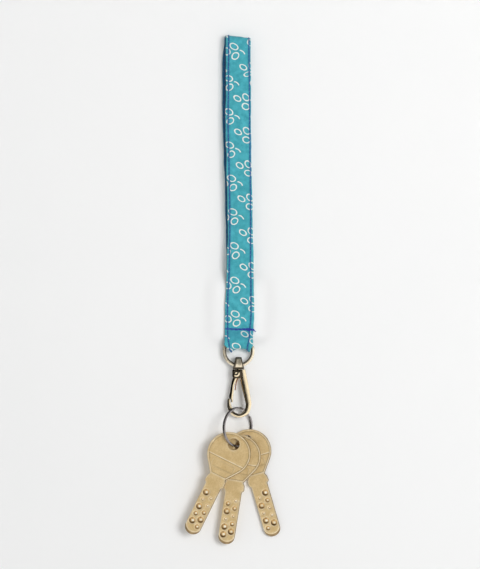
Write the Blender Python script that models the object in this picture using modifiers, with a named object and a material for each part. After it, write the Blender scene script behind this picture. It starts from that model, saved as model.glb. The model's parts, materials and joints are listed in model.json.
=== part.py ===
"""Wristlet keychain: a printed cotton wrist strap on a D-ring, a swivel snap hook with a
sprung gate, a split ring and three dimple keys.

It is modelled as it hangs: the origin is the inside of the loop's top, +Z is up, and the
printed front faces -Y. Sizes are in metres and angles in degrees.
"""

import math

import bmesh
import bpy
from mathutils import Matrix, Vector

# --- Strap -------------------------------------------------------------------------------
STRAP_WIDTH = 0.0173
COVER_THICKNESS = 0.0004
CORE_THICKNESS = 0.0010
CORE_GAP = 0.0001  # between the core and the cover's inside, on each face
STRAP_THICKNESS = CORE_THICKNESS + 2 * (COVER_THICKNESS + CORE_GAP)
COVER_CORNER = 0.0003
COVER_SEAM = 0.0003  # open seam along the left edge, where the folded edges meet
CORE_MARGIN = 0.0002  # core edge to the cover's inside
FACE_BAND = 0.0050  # half width of the plain band down the middle of each face
LOOP_RADIUS = 0.0024  # centre line of the strap round the D-ring's bar
LOOP_FLAT = 0.0012  # flat at the loop's top
STRAP_END_GAP = 0.0005  # from the strap's lower end to the D-ring's bar
FOLD_STEPS = 8
CORNER_STEPS = 4
LOOP_TOP_Z = STRAP_THICKNESS / 2  # centre line at the loop's top: the inside is at zero
REAR_BEND_TOP_Z = -0.1500
REAR_BEND_BOTTOM_Z = -0.1660
REAR_BEND_STEPS = 6
CROSS_STITCH_Z = -0.1773
TAIL_TOP_Z = -0.1716  # end of the strap, folded up behind the join

# The strap narrows where it wraps the bar between the D-ring's arms.
BAR_Z = -0.1878
NARROW_START = 0.0015  # above the bar
NARROW_ARMS = -0.0002
NARROW_END = -0.0034
ARMS_WIDTH_FACTOR = 0.83
FOLD_WIDTH_FACTOR = 0.72

# --- Threads -----------------------------------------------------------------------------
THREAD_RADIUS = 0.00017
THREAD_CLEARANCE = 0.0001
EDGE_STITCH_X = 0.0071
BOBBIN_STOP_Z = -0.1480  # the inside stitches are buried below here
CROSS_THREAD_RADIUS = 0.00022
CROSS_HALF_LENGTH = 0.0084
CROSS_ROW_GAP = 0.0007
CROSS_TAIL = ((0.0093, -0.0010), (0.0104, -0.0019))  # loose end, from the row's middle

# --- D-ring ------------------------------------------------------------------------------
D_WIRE_RADIUS = 0.0011
D_ARC_RADIUS = 0.0086
D_SIDE_LENGTH = 0.0030
D_CORNER_RADIUS = 0.0015
D_ARC_STEPS = 24
D_BOTTOM_Z = BAR_Z - D_SIDE_LENGTH - D_ARC_RADIUS

# --- Swivel eye --------------------------------------------------------------------------
EYE_HOLE_RADIUS = 0.00245
EYE_OUTER_RADIUS = 0.00395
EYE_CENTRE_Z = D_BOTTOM_Z + 0.00114
EYE_BASE_WIDTH = 0.0065
EYE_TOP_WIDTH = 0.0038
EYE_BASE_Z = -0.2018
EYE_BEVEL = 0.00035
EYE_SIDES = 32
SWIVEL_BORE_RADIUS = 0.00115
SWIVEL_BORE_LENGTH = 0.0040  # of its cutter, half of it below the eye
SWIVEL_SINK_RADIUS = 0.00175
SWIVEL_SINK_DEPTH = 0.0006

# --- Hook body ---------------------------------------------------------------------------
BLOCK_TOP_Z = -0.20205
BLOCK_BOTTOM_Z = -0.2073
BLOCK_LEFT_X = -0.0038
BLOCK_RIGHT_X = 0.0041
BLOCK_HALF_DEPTH = 0.0024
BLOCK_BEVEL = 0.0006
HOOK_HALF_DEPTH = 0.0017
HOOK_BEVEL = 0.0007
HOOK_STEPS = 4  # outline points between two stations
# Stations down the hook's centre line, as (x, z, half width), from the block to the nose.
HOOK_STATIONS = (
    (0.0029, -0.2040, 0.0016),
    (0.0034, -0.2085, 0.0019),
    (0.0043, -0.2129, 0.0018),
    (0.0051, -0.2167, 0.0018),
    (0.0058, -0.2205, 0.0017),
    (0.0061, -0.2236, 0.0017),
    (0.0047, -0.2279, 0.0016),
    (0.0005, -0.2302, 0.0011),
    (-0.0037, -0.2284, 0.0012),
    (-0.0055, -0.2247, 0.0013),
    (-0.0059, -0.2218, 0.0009),
    (-0.0059, -0.2200, 0.0007),
)
# The limb thins from front to back towards its lowest part.
LIMB_THIN_START_Z = -0.2140
LIMB_THIN_END_Z = -0.2240
LIMB_THIN_FACTOR = 0.78
SLOT_HALF_DEPTH = 0.0016
SLOT_RIGHT_X = 0.0016
SLOT_TOP_Z = -0.2029
SLOT_OPEN = 0.0021  # how far its cutter runs past the block's left side and underside
STEM_RADIUS = 0.0010
STEM_FLARE_RADIUS = 0.0015
STEM_SINK_BOTTOM_Z = EYE_CENTRE_Z - EYE_HOLE_RADIUS - SWIVEL_SINK_DEPTH
STEM_FLARE_TOP_Z = STEM_SINK_BOTTOM_Z + 0.0005

# --- Gate, rivet and spring --------------------------------------------------------------
PIVOT_X = -0.0012
PIVOT_Z = -0.2044
KNUCKLE_RADIUS = 0.00135
KNUCKLE_END_ANGLE = -10  # where its round meets the gate's inner side
KNUCKLE_STEPS = 12
GATE_HALF_DEPTH = 0.0014
GATE_CHEEK = 0.0005
GATE_BEVEL = 0.0003
GATE_HOLE_RADIUS = 0.00085
# Corners of the gate below its knuckle, as (x, z): inner side down, tip, outer side up.
GATE_CORNERS = (
    (-0.0012, -0.2082),
    (-0.0024, -0.2114),
    (-0.0032, -0.2201),
    (-0.0033, -0.2221),
    (-0.0044, -0.2221),
    (-0.0047, -0.2196),
    (-0.0059, -0.2191),
    (-0.0041, -0.2090),
)
# Left side of the gate's channel from its pivot: clear of the spring's coil, then a wall.
GATE_CHANNEL_SIDE = ((-0.0020, 0.0030), (-0.0020, -0.0006), (-0.0012, -0.0010),
                     (-0.0022, -0.0046), (-0.0039, -0.0138))
RIVET_RADIUS = 0.00065
RIVET_BORE_RADIUS = 0.0008
RIVET_HEAD_RADIUS = 0.0017
RIVET_HEAD_HEIGHT = 0.0005
RIVET_HEAD_GAP = 0.0001
RIVET_DOME_ANGLES = (0, 35, 65, 90)  # from the top of its head to its rim
SMALL_SIDES = 20  # sides of the rivet, its bores and the stem's flare
SPRING_WIRE_RADIUS = 0.00018
SPRING_RADIUS = 0.00112
SPRING_TURNS = 2.75
SPRING_PITCH = 0.00043
SPRING_STEPS = 14  # points a turn
# Ends of the spring's legs, from the pivot: one rests in the gate, one in the block's slot.
SPRING_GATE_LEG = ((0.00105, -0.0035), (-0.0008, -0.0100), (-0.0021, -0.0115))
SPRING_SLOT_LEG = (0.0022, -SPRING_RADIUS)

# --- Split ring --------------------------------------------------------------------------
RING_RADIUS = 0.0116
RING_WIRE_WIDTH = 0.0012  # across the radius
RING_WIRE_HEIGHT = 0.00075  # along the ring's axis
RING_COIL_GAP = 0.0001
RING_WIRE_CHAMFER = 0.0002
RING_CENTRE = (-0.0005, -0.0010, -0.2370)
RING_YAW = 44
RING_LEAN = -7
RING_JOG_ANGLE = 36  # where the wire steps from one coil to the other
RING_JOG_HALF = 14
RING_END_GAP = 18
RING_STEPS = 36  # points a turn
RING_PIVOT_Z = -0.2301  # middle of the hook's lowest limb

# --- Keys --------------------------------------------------------------------------------
KEY_THICKNESS = 0.0024
KEY_BEVEL = 0.0002
BOW_RADIUS = 0.0133
BOW_DROP = 0.0065  # bow centre below the hole
BOW_TAPER = 36
BOW_STEPS = 20
HOLE_RADIUS = 0.0036
HOLE_STEPS = 24
# Half outline of the neck, as (x, distance below the bow's centre).
NECK = ((0.0051, 0.0156), (0.0061, 0.0174), (0.0064, 0.0203), (0.00505, 0.0216))
BLADE_HALF_WIDTH = 0.00505
BLADE_TIP = 0.0541  # below the bow's centre
TIP_STEPS = 10
DIMPLE_ROW_X = 0.0022
DIMPLE_PITCH = 0.00475
EARLY_ROW = 0.0270  # first dimple of the row nearer the bow, below the bow's centre
LATE_ROW = 0.0293
DIMPLE_SIDES = 8
DIMPLE_FLOOR = 0.3  # floor radius over mouth radius
CUTTER_STAND = 0.0003  # how far a cutter stands proud of the face it cuts
# Mouth radius and depth of each size of dimple.
DIMPLES = {
    "L": (0.00200, 0.00080),
    "M": (0.00150, 0.00060),
    "S": (0.00090, 0.00040),
}
# Each key: hole centre, swing from hanging straight, side of its early row on the front,
# and the sizes of its dimples down the early row and the late row.
KEYS = {
    "key_1": ((-0.0029, -0.0042, -0.2473), 26.3, -1, "LSLML", "SSMLM"),
    "key_2": ((0.0014, -0.0007, -0.2485), 9.0, 1, "SMSML", "MLSLL"),
    "key_3": ((0.0049, 0.0030, -0.2456), -16.2, 1, "LMSSL", "SLSLM"),
}

# --- Colours: name, (red, green, blue), roughness, metallic ------------------------------
FINISHES = {
    "printed_cotton": ((0.075, 0.40, 0.47), 0.85, 0.0),
    "interfacing": ((0.75, 0.74, 0.70), 0.9, 0.0),
    "thread_blue": ((0.03, 0.08, 0.32), 0.7, 0.0),
    "pale_gold": ((0.78, 0.68, 0.48), 0.22, 1.0),
    "spring_copper": ((0.62, 0.33, 0.20), 0.35, 1.0),
    "gunmetal": ((0.30, 0.29, 0.30), 0.3, 1.0),
    "key_brass": ((0.60, 0.47, 0.26), 0.42, 1.0),
}


# --- Scene helpers -----------------------------------------------------------------------
def clear_scene():
    for item in list(bpy.data.objects):
        bpy.data.objects.remove(item, do_unlink=True)


def new_collection(name):
    collection = bpy.data.collections.new(name)
    bpy.context.scene.collection.children.link(collection)
    return collection


def make_finishes():
    finishes = {}
    for name, (colour, roughness, metallic) in FINISHES.items():
        material = bpy.data.materials.new(name)
        material.use_nodes = True
        shader = material.node_tree.nodes["Principled BSDF"]
        shader.inputs["Base Color"].default_value = (*colour, 1.0)
        shader.inputs["Roughness"].default_value = roughness
        shader.inputs["Metallic"].default_value = metallic
        finishes[name] = material
    return finishes


def add_object(name, data, collection, finish=None):
    item = bpy.data.objects.new(name, data)
    collection.objects.link(item)
    if finish:
        data.materials.clear()
        data.materials.append(finish)
    return item


def mesh_object(name, bm, collection, finish=None):
    mesh = bpy.data.meshes.new(name)
    bm.to_mesh(mesh)
    bm.free()
    return add_object(name, mesh, collection, finish)


def shade_smooth(item, angle=35):
    item.data.shade_smooth()
    item.data.set_sharp_from_angle(angle=math.radians(angle))


def attach(child, parent):
    """Parents child to parent and leaves it where it is."""
    bpy.context.view_layer.update()
    child.parent = parent
    child.matrix_parent_inverse = parent.matrix_world.inverted()


# --- Points ------------------------------------------------------------------------------
def arc(centre, radius, start, end, steps):
    """Points of an arc in a plane, with both its ends."""
    points = []
    for step in range(steps + 1):
        angle = math.radians(start + (end - start) * step / steps)
        points.append((centre[0] + radius * math.cos(angle), centre[1] + radius * math.sin(angle)))
    return points


def smoothstep(t):
    return t * t * (3 - 2 * t)


def spline_through(stations, steps):
    """Catmull-Rom points through stations of any number of values."""
    ends = [stations[0], *stations, stations[-1]]
    points = []
    for a, b, c, d in zip(ends, ends[1:], ends[2:], ends[3:]):
        for step in range(steps):
            t = step / steps
            points.append(tuple(catmull_rom(*values, t) for values in zip(a, b, c, d)))
    points.append(tuple(stations[-1]))
    return points


def catmull_rom(a, b, c, d, t):
    slope_b = (c - a) / 2
    slope_c = (d - b) / 2
    rise = c - b
    return b + slope_b * t + (3 * rise - 2 * slope_b - slope_c) * t**2 + (
        slope_b + slope_c - 2 * rise
    ) * t**3


def offset_path(points, distance):
    """Points moved sideways off an open path: a positive distance is to its left."""
    moved = []
    for index, point in enumerate(points):
        before = Vector(points[max(index - 1, 0)][:2])
        after = Vector(points[min(index + 1, len(points) - 1)][:2])
        along = (after - before).normalized()
        moved.append((point[0] - along.y * distance, point[1] + along.x * distance))
    return moved


# --- Curves and solids -------------------------------------------------------------------
def curve_object(name, points, collection, finish=None, cyclic=False, radius=0.0, resolution=2):
    """A straight-segment curve through points of two or three values."""
    curve = bpy.data.curves.new(name, "CURVE")
    curve.dimensions = "3D"
    curve.twist_mode = "Z_UP"
    curve.bevel_depth = radius
    curve.bevel_resolution = resolution
    curve.use_fill_caps = not cyclic
    spline = curve.splines.new("POLY")
    spline.points.add(len(points) - 1)
    for target, point in zip(spline.points, points):
        target.co = (*point, 1.0) if len(point) == 3 else (*point, 0.0, 1.0)
    spline.use_cyclic_u = cyclic
    return add_object(name, curve, collection, finish)


def to_mesh(curve):
    """Replaces a curve object with the mesh that it makes, its caps welded on."""
    name = curve.name
    curve.name = name + "_curve"
    bpy.context.view_layer.update()
    evaluated = curve.evaluated_get(bpy.context.evaluated_depsgraph_get())
    mesh = bpy.data.meshes.new_from_object(evaluated)
    bm = bmesh.new()
    bm.from_mesh(mesh)
    bmesh.ops.remove_doubles(bm, verts=bm.verts, dist=1e-6)
    bmesh.ops.recalc_face_normals(bm, faces=bm.faces)
    bm.to_mesh(mesh)
    bm.free()
    solid = bpy.data.objects.new(name, mesh)
    curve.users_collection[0].objects.link(solid)
    solid.matrix_world = curve.matrix_world.copy()
    bpy.data.objects.remove(curve)
    return solid


def swept(name, path, profile, collection, finish, closed_profile=True):
    """A mesh swept along a path in the YZ plane; profile x is across the path."""
    section = curve_object(name + "_section", profile, collection, cyclic=closed_profile)
    item = curve_object(name, path, collection, finish)
    item.data.bevel_mode = "OBJECT"
    item.data.bevel_object = section
    item.data.use_fill_caps = closed_profile
    item.rotation_euler = (math.radians(90), 0, math.radians(90))
    solid = to_mesh(item)
    bpy.data.objects.remove(section)
    return solid


def plate(name, outlines, half_depth, collection, finish=None):
    """A flat plate in the XZ plane from closed outlines, the first outside the others."""
    curve = bpy.data.curves.new(name, "CURVE")
    curve.dimensions = "2D"
    curve.fill_mode = "BOTH"
    curve.extrude = half_depth
    for outline in outlines:
        spline = curve.splines.new("POLY")
        spline.points.add(len(outline) - 1)
        for target, point in zip(spline.points, outline):
            target.co = (*point, 0.0, 1.0)
        spline.use_cyclic_u = True
    item = add_object(name, curve, collection, finish)
    item.rotation_euler = (math.radians(90), 0, 0)
    return to_mesh(item)


def cylinder(name, radius, length, centre, axis, collection, top_radius=None, sides=24):
    """A cylinder or cone about a world axis: top_radius is its far end on that axis."""
    turn = {"X": Matrix.Rotation(math.radians(90), 4, "Y"),
            "Y": Matrix.Rotation(math.radians(-90), 4, "X"),
            "Z": Matrix.Identity(4)}[axis]
    bm = bmesh.new()
    far = radius if top_radius is None else top_radius
    bmesh.ops.create_cone(bm, cap_ends=True, segments=sides, radius1=radius, radius2=far,
                          depth=length, matrix=turn)
    item = mesh_object(name, bm, collection)
    item.location = centre
    return item


def box(name, low, high, collection):
    bm = bmesh.new()
    size = Vector(high) - Vector(low)
    bmesh.ops.create_cube(bm, size=1.0, matrix=Matrix.Diagonal((*size, 1.0)))
    item = mesh_object(name, bm, collection)
    item.location = (Vector(high) + Vector(low)) / 2
    return item


def boolean(item, tool, operation):
    """Adds a Boolean to item; the tool stays as a wire guide."""
    tool.hide_render = True
    tool.display_type = "WIRE"
    modifier = item.modifiers.new(tool.name, "BOOLEAN")
    modifier.operation = operation
    modifier.solver = "EXACT"
    modifier.object = tool
    attach(tool, item)


def bevel(item, width, segments=2, angle=40):
    modifier = item.modifiers.new("rounded_edges", "BEVEL")
    modifier.width = width
    modifier.segments = segments
    modifier.limit_method = "ANGLE"
    modifier.angle_limit = math.radians(angle)


# --- Strap -------------------------------------------------------------------------------
def strap_path():
    """Centre line of the strap from its tail, round the bar, up the front, over the top and
    down the rear, as (y, z). The outside of the loop is on its left."""
    corner_radius = LOOP_RADIUS - LOOP_FLAT / 2
    corner_z = LOOP_TOP_Z - corner_radius
    narrow_z = BAR_Z + NARROW_START
    points = [(LOOP_RADIUS, TAIL_TOP_Z), (LOOP_RADIUS, narrow_z)]
    points += arc((0.0, BAR_Z), LOOP_RADIUS, 0, -180, FOLD_STEPS)
    points.append((-LOOP_RADIUS, narrow_z))
    points += arc((-LOOP_FLAT / 2, corner_z), corner_radius, 180, 90, CORNER_STEPS)
    points += arc((LOOP_FLAT / 2, corner_z), corner_radius, 90, 0, CORNER_STEPS)
    for step in range(REAR_BEND_STEPS + 1):
        t = step / REAR_BEND_STEPS
        z = REAR_BEND_TOP_Z + (REAR_BEND_BOTTOM_Z - REAR_BEND_TOP_Z) * t
        points.append((LOOP_RADIUS * (1 - smoothstep(t)), z))
    points.append((0.0, BAR_Z + D_WIRE_RADIUS + STRAP_END_GAP))
    return points


def narrow_at_bar(item):
    """Draws the strap in where it passes between the D-ring's arms."""
    for vertex in item.data.vertices:
        place = item.matrix_world @ vertex.co
        above = place.z - BAR_Z
        if above < NARROW_ARMS:
            t = (above - NARROW_ARMS) / (NARROW_END - NARROW_ARMS)
            factor = ARMS_WIDTH_FACTOR + (FOLD_WIDTH_FACTOR - ARMS_WIDTH_FACTOR) * min(t, 1)
        elif above < NARROW_START:
            t = (above - NARROW_START) / (NARROW_ARMS - NARROW_START)
            factor = 1 + (ARMS_WIDTH_FACTOR - 1) * t
        else:
            factor = 1.0
        place.x *= factor
        vertex.co = item.matrix_world.inverted() @ place


def make_cover(parts, finish):
    """The cotton: a folded band round the core, open along its left edge."""
    across = STRAP_WIDTH / 2 - COVER_THICKNESS / 2
    out = STRAP_THICKNESS / 2 - COVER_THICKNESS / 2
    c = COVER_CORNER
    upper = [(out - c, -across), (out, -across + c), (out, -FACE_BAND),
             (out, FACE_BAND), (out, across - c), (out - c, across)]
    lower = [(-x, y) for x, y in reversed(upper)]
    profile = [(COVER_SEAM / 2, -across), *upper, *lower, (-COVER_SEAM / 2, -across)]
    cover = swept("cotton_cover", strap_path(), profile, parts, finish, closed_profile=False)
    narrow_at_bar(cover)
    shell = cover.modifiers.new("cloth", "SOLIDIFY")
    shell.thickness = COVER_THICKNESS
    shell.offset = 0.0
    return cover


def make_core(parts, finish):
    """The stiff band inside the cotton."""
    across = STRAP_WIDTH / 2 - COVER_THICKNESS - CORE_MARGIN
    half = CORE_THICKNESS / 2
    profile = [(-half, -across), (half, -across), (half, across), (-half, across)]
    core = swept("strap_core", strap_path(), profile, parts, finish)
    narrow_at_bar(core)
    return core


def make_edge_thread(name, x, outside, parts, finish):
    """One row of edge stitching: the needle thread outside or the bobbin thread inside."""
    out = STRAP_THICKNESS / 2 + THREAD_CLEARANCE + THREAD_RADIUS
    path = strap_path()
    if outside:
        path = offset_path(path, out)[: -REAR_BEND_STEPS - 1]
    else:
        path = [p for p in offset_path(path, -out) if p[1] > BOBBIN_STOP_Z]
        path.insert(0, (path[0][0], BOBBIN_STOP_Z))
        path.append((path[-1][0], BOBBIN_STOP_Z))
    item = curve_object(name, path, parts, finish, radius=THREAD_RADIUS, resolution=0)
    item.rotation_euler = (math.radians(90), 0, math.radians(90))
    item.location.x = x
    thread = to_mesh(item)
    narrow_at_bar(thread)
    return thread


def make_cross_thread(name, side, with_tail, parts, finish):
    """The two rows of stitches across the join, one thread there and back."""
    stack = LOOP_RADIUS + STRAP_THICKNESS / 2
    out = stack + 2 * THREAD_RADIUS + 2 * THREAD_CLEARANCE + CROSS_THREAD_RADIUS
    half = CROSS_ROW_GAP / 2
    rows = [(CROSS_HALF_LENGTH, half), (-CROSS_HALF_LENGTH, half),
            (-CROSS_HALF_LENGTH, -half), (CROSS_HALF_LENGTH, -half)]
    if with_tail:
        rows += CROSS_TAIL
    item = curve_object(name, rows, parts, finish, radius=CROSS_THREAD_RADIUS, resolution=1)
    item.rotation_euler = (math.radians(90), 0, 0)
    item.location = (0.0, side * out, CROSS_STITCH_Z)
    return to_mesh(item)


# --- D-ring and swivel eye ---------------------------------------------------------------
def make_d_ring(parts, finish):
    """A closed wire D, its origin on its straight bar."""
    inset = D_ARC_RADIUS - D_CORNER_RADIUS
    points = arc((inset, -D_CORNER_RADIUS), D_CORNER_RADIUS, 90, 0, CORNER_STEPS)
    points += arc((0.0, -D_SIDE_LENGTH), D_ARC_RADIUS, 0, -180, D_ARC_STEPS)
    points += arc((-inset, -D_CORNER_RADIUS), D_CORNER_RADIUS, 180, 90, CORNER_STEPS)
    item = curve_object("d_ring", points, parts, finish, cyclic=True, radius=D_WIRE_RADIUS)
    item.rotation_euler = (math.radians(90), 0, 0)
    item.location = (0.0, 0.0, BAR_Z)
    return item


def make_eye(parts, cutters, finish):
    """The loop round the D-ring, wider at its base, with a sunk bore for the hook's stem."""
    turn = Matrix.Rotation(math.radians(90), 4, "Y")
    lift = EYE_CENTRE_Z - D_BOTTOM_Z
    bm = bmesh.new()
    bmesh.ops.create_cone(bm, cap_ends=True, segments=EYE_SIDES, radius1=EYE_OUTER_RADIUS,
                          radius2=EYE_OUTER_RADIUS, depth=EYE_BASE_WIDTH, matrix=turn)
    for vertex in bm.verts:
        t = (vertex.co.z + EYE_OUTER_RADIUS) / (2 * EYE_OUTER_RADIUS)
        vertex.co.x *= 1 + (EYE_TOP_WIDTH / EYE_BASE_WIDTH - 1) * t
        vertex.co.z += lift
    eye = mesh_object("swivel_eye", bm, parts, finish)
    eye.location = (0.0, 0.0, D_BOTTOM_Z)
    wide = 2 * EYE_BASE_WIDTH
    hole = cylinder("eye_hole", EYE_HOLE_RADIUS, wide, (0.0, 0.0, EYE_CENTRE_Z), "X", cutters,
                    sides=EYE_SIDES)
    below = box("eye_underside", (-wide, -wide, EYE_BASE_Z - wide), (wide, wide, EYE_BASE_Z),
                cutters)
    bore = cylinder("eye_bore", SWIVEL_BORE_RADIUS, SWIVEL_BORE_LENGTH,
                    (0.0, 0.0, EYE_BASE_Z), "Z", cutters)
    sink_depth = 2 * SWIVEL_SINK_DEPTH
    slope = (SWIVEL_SINK_RADIUS - SWIVEL_BORE_RADIUS) / SWIVEL_SINK_DEPTH
    sink = cylinder("eye_sink", SWIVEL_BORE_RADIUS, sink_depth,
                    (0.0, 0.0, STEM_SINK_BOTTOM_Z + sink_depth / 2), "Z", cutters,
                    top_radius=SWIVEL_BORE_RADIUS + slope * sink_depth)
    boolean(eye, below, "DIFFERENCE")
    boolean(eye, hole, "DIFFERENCE")
    bevel(eye, EYE_BEVEL)
    boolean(eye, bore, "DIFFERENCE")
    boolean(eye, sink, "DIFFERENCE")
    return eye


# --- Snap hook ---------------------------------------------------------------------------
def hook_outline():
    """Both sides of the hook's limb, as one closed outline."""
    line = spline_through(HOOK_STATIONS, HOOK_STEPS)
    outer, inner = [], []
    for index, (x, z, half) in enumerate(line):
        before = Vector(line[max(index - 1, 0)][:2])
        after = Vector(line[min(index + 1, len(line) - 1)][:2])
        along = (after - before).normalized()
        outer.append((x - along.y * half, z + along.x * half))
        inner.append((x + along.y * half, z - along.x * half))
    return outer + inner[::-1]


def thin_limb(limb):
    for vertex in limb.data.vertices:
        place = limb.matrix_world @ vertex.co
        t = (LIMB_THIN_START_Z - place.z) / (LIMB_THIN_START_Z - LIMB_THIN_END_Z)
        place.y *= 1 + (LIMB_THIN_FACTOR - 1) * smoothstep(min(max(t, 0.0), 1.0))
        vertex.co = limb.matrix_world.inverted() @ place


def make_hook(parts, cutters, finish):
    """The cast body: a slotted block, the long open limb and the flared stem."""
    hook = box("hook_body", (BLOCK_LEFT_X, -BLOCK_HALF_DEPTH, BLOCK_BOTTOM_Z),
               (BLOCK_RIGHT_X, BLOCK_HALF_DEPTH, BLOCK_TOP_Z), parts)
    hook.data.materials.append(finish)
    hook.data.transform(Matrix.Translation(hook.location - Vector((0, 0, BLOCK_TOP_Z))))
    hook.location = (0.0, 0.0, BLOCK_TOP_Z)
    bevel(hook, BLOCK_BEVEL)
    limb = plate("hook_limb", [hook_outline()], HOOK_HALF_DEPTH, cutters)
    thin_limb(limb)
    bevel(limb, HOOK_BEVEL)
    neck_length = STEM_FLARE_TOP_Z - SLOT_TOP_Z
    stem = cylinder("hook_stem", STEM_RADIUS, neck_length,
                    (0.0, 0.0, SLOT_TOP_Z + neck_length / 2), "Z", cutters)
    flare_length = STEM_FLARE_TOP_Z - STEM_SINK_BOTTOM_Z
    flare = cylinder("hook_flare", STEM_RADIUS, flare_length,
                     (0.0, 0.0, STEM_SINK_BOTTOM_Z + flare_length / 2), "Z", cutters,
                     top_radius=STEM_FLARE_RADIUS, sides=SMALL_SIDES)
    slot = box("hook_slot",
               (BLOCK_LEFT_X - SLOT_OPEN, -SLOT_HALF_DEPTH, BLOCK_BOTTOM_Z - SLOT_OPEN),
               (SLOT_RIGHT_X, SLOT_HALF_DEPTH, SLOT_TOP_Z), cutters)
    bore = cylinder("hook_rivet_bore", RIVET_BORE_RADIUS, 4 * BLOCK_HALF_DEPTH,
                    (PIVOT_X, 0.0, PIVOT_Z), "Y", cutters, sides=SMALL_SIDES)
    boolean(hook, limb, "UNION")
    boolean(hook, slot, "DIFFERENCE")
    boolean(hook, bore, "DIFFERENCE")
    boolean(hook, stem, "UNION")
    boolean(hook, flare, "UNION")
    return hook


def gate_outline():
    """The gate's outline from its pivot."""
    corners = [(x - PIVOT_X, z - PIVOT_Z) for x, z in GATE_CORNERS]
    knuckle = arc((0.0, 0.0), KNUCKLE_RADIUS, 180, KNUCKLE_END_ANGLE, KNUCKLE_STEPS)
    return knuckle + corners


def make_gate(parts, cutters, finish):
    """The sprung lever: a channel, open towards the inside of the hook."""
    gate = plate("gate", [gate_outline()], GATE_HALF_DEPTH, parts, finish)
    gate.location = (PIVOT_X, 0.0, PIVOT_Z)
    bevel(gate, GATE_BEVEL, segments=1)
    top, bottom = GATE_CHANNEL_SIDE[0][1], GATE_CHANNEL_SIDE[-1][1]
    inside = [*GATE_CHANNEL_SIDE, (BLOCK_RIGHT_X, bottom), (BLOCK_RIGHT_X, top)]
    channel = plate("gate_channel", [inside], GATE_HALF_DEPTH - GATE_CHEEK, cutters)
    channel.location = gate.location
    bore = cylinder("gate_bore", GATE_HOLE_RADIUS, 4 * GATE_HALF_DEPTH,
                    (PIVOT_X, 0.0, PIVOT_Z), "Y", cutters, sides=SMALL_SIDES)
    boolean(gate, channel, "DIFFERENCE")
    boolean(gate, bore, "DIFFERENCE")
    return gate


def make_rivet(parts, finish):
    """The gate's pivot, with a domed head at each end."""
    under = BLOCK_HALF_DEPTH + RIVET_HEAD_GAP
    dome = [(RIVET_HEAD_RADIUS * math.sin(math.radians(angle)),
             under + RIVET_HEAD_HEIGHT * math.cos(math.radians(angle)))
            for angle in RIVET_DOME_ANGLES]
    half = [*dome, (RIVET_RADIUS, under)]
    profile = half + [(x, -z) for x, z in reversed(half)]
    mesh = bpy.data.meshes.new("gate_rivet")
    edges = [(i, i + 1) for i in range(len(profile) - 1)]
    mesh.from_pydata([(x, 0.0, z) for x, z in profile], edges, [])
    rivet = add_object("gate_rivet", mesh, parts, finish)
    screw = rivet.modifiers.new("turned", "SCREW")
    screw.steps = SMALL_SIDES
    screw.render_steps = SMALL_SIDES
    screw.use_merge_vertices = True
    screw.merge_threshold = 0.00001
    rivet.rotation_euler = (math.radians(90), 0, 0)
    rivet.location = (PIVOT_X, 0.0, PIVOT_Z)
    return rivet


def make_spring(parts, finish):
    """The torsion spring round the rivet, inside the gate's channel."""
    count = int(SPRING_TURNS * SPRING_STEPS)
    rise = SPRING_PITCH * SPRING_TURNS
    points = [(*SPRING_SLOT_LEG, rise / 2)]
    for step in range(count + 1):
        t = step / count
        angle = math.radians(-90 - 360 * SPRING_TURNS * t)
        points.append((SPRING_RADIUS * math.cos(angle), SPRING_RADIUS * math.sin(angle),
                       rise * (0.5 - t)))
    points += [(x, z, -rise / 2) for x, z in SPRING_GATE_LEG]
    item = curve_object("gate_spring", points, parts, finish, radius=SPRING_WIRE_RADIUS,
                        resolution=1)
    item.rotation_euler = (math.radians(90), 0, 0)
    item.location = (PIVOT_X, 0.0, PIVOT_Z)
    return item


# --- Split ring --------------------------------------------------------------------------
def make_split_ring(parts, finish):
    """Two flat coils of one wire, stepping from one to the other beside their ends."""
    layer = RING_WIRE_HEIGHT + RING_COIL_GAP
    start = RING_END_GAP
    end = 720 - RING_END_GAP
    count = RING_STEPS * 2
    points = []
    for step in range(count + 1):
        turned = start + (end - start) * step / count
        t = (turned - 360 + RING_JOG_HALF) / (2 * RING_JOG_HALF)
        height = layer * (smoothstep(min(max(t, 0.0), 1.0)) - 0.5)
        angle = math.radians(turned + RING_JOG_ANGLE)
        points.append((RING_RADIUS * math.cos(angle), RING_RADIUS * math.sin(angle), height))
    w, h, c = RING_WIRE_WIDTH / 2, RING_WIRE_HEIGHT / 2, RING_WIRE_CHAMFER
    profile = [(w, h - c), (w - c, h), (c - w, h), (-w, h - c),
               (-w, c - h), (c - w, -h), (w - c, -h), (w, c - h)]
    section = curve_object("ring_section", profile, parts, cyclic=True)
    item = curve_object("split_ring", points, parts, finish)
    item.data.bevel_mode = "OBJECT"
    item.data.bevel_object = section
    item.rotation_mode = "XZY"
    item.rotation_euler = (math.radians(90), math.radians(RING_LEAN), math.radians(RING_YAW))
    item.location = RING_CENTRE
    ring = to_mesh(item)
    bpy.data.objects.remove(section)
    return ring


# --- Keys --------------------------------------------------------------------------------
def key_outline():
    """The key's outline from its hole: a round bow, a tapered neck and a round-ended blade."""
    bow = (0.0, -BOW_DROP)
    tip = (0.0, -BOW_DROP - BLADE_TIP + BLADE_HALF_WIDTH)
    right = arc(bow, BOW_RADIUS, 90, -BOW_TAPER, BOW_STEPS)
    right += [(x, -BOW_DROP - below) for x, below in NECK]
    right += arc(tip, BLADE_HALF_WIDTH, 0, -90, TIP_STEPS)
    left = [(-x, z) for x, z in reversed(right[1:-1])]
    return right + left


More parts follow.
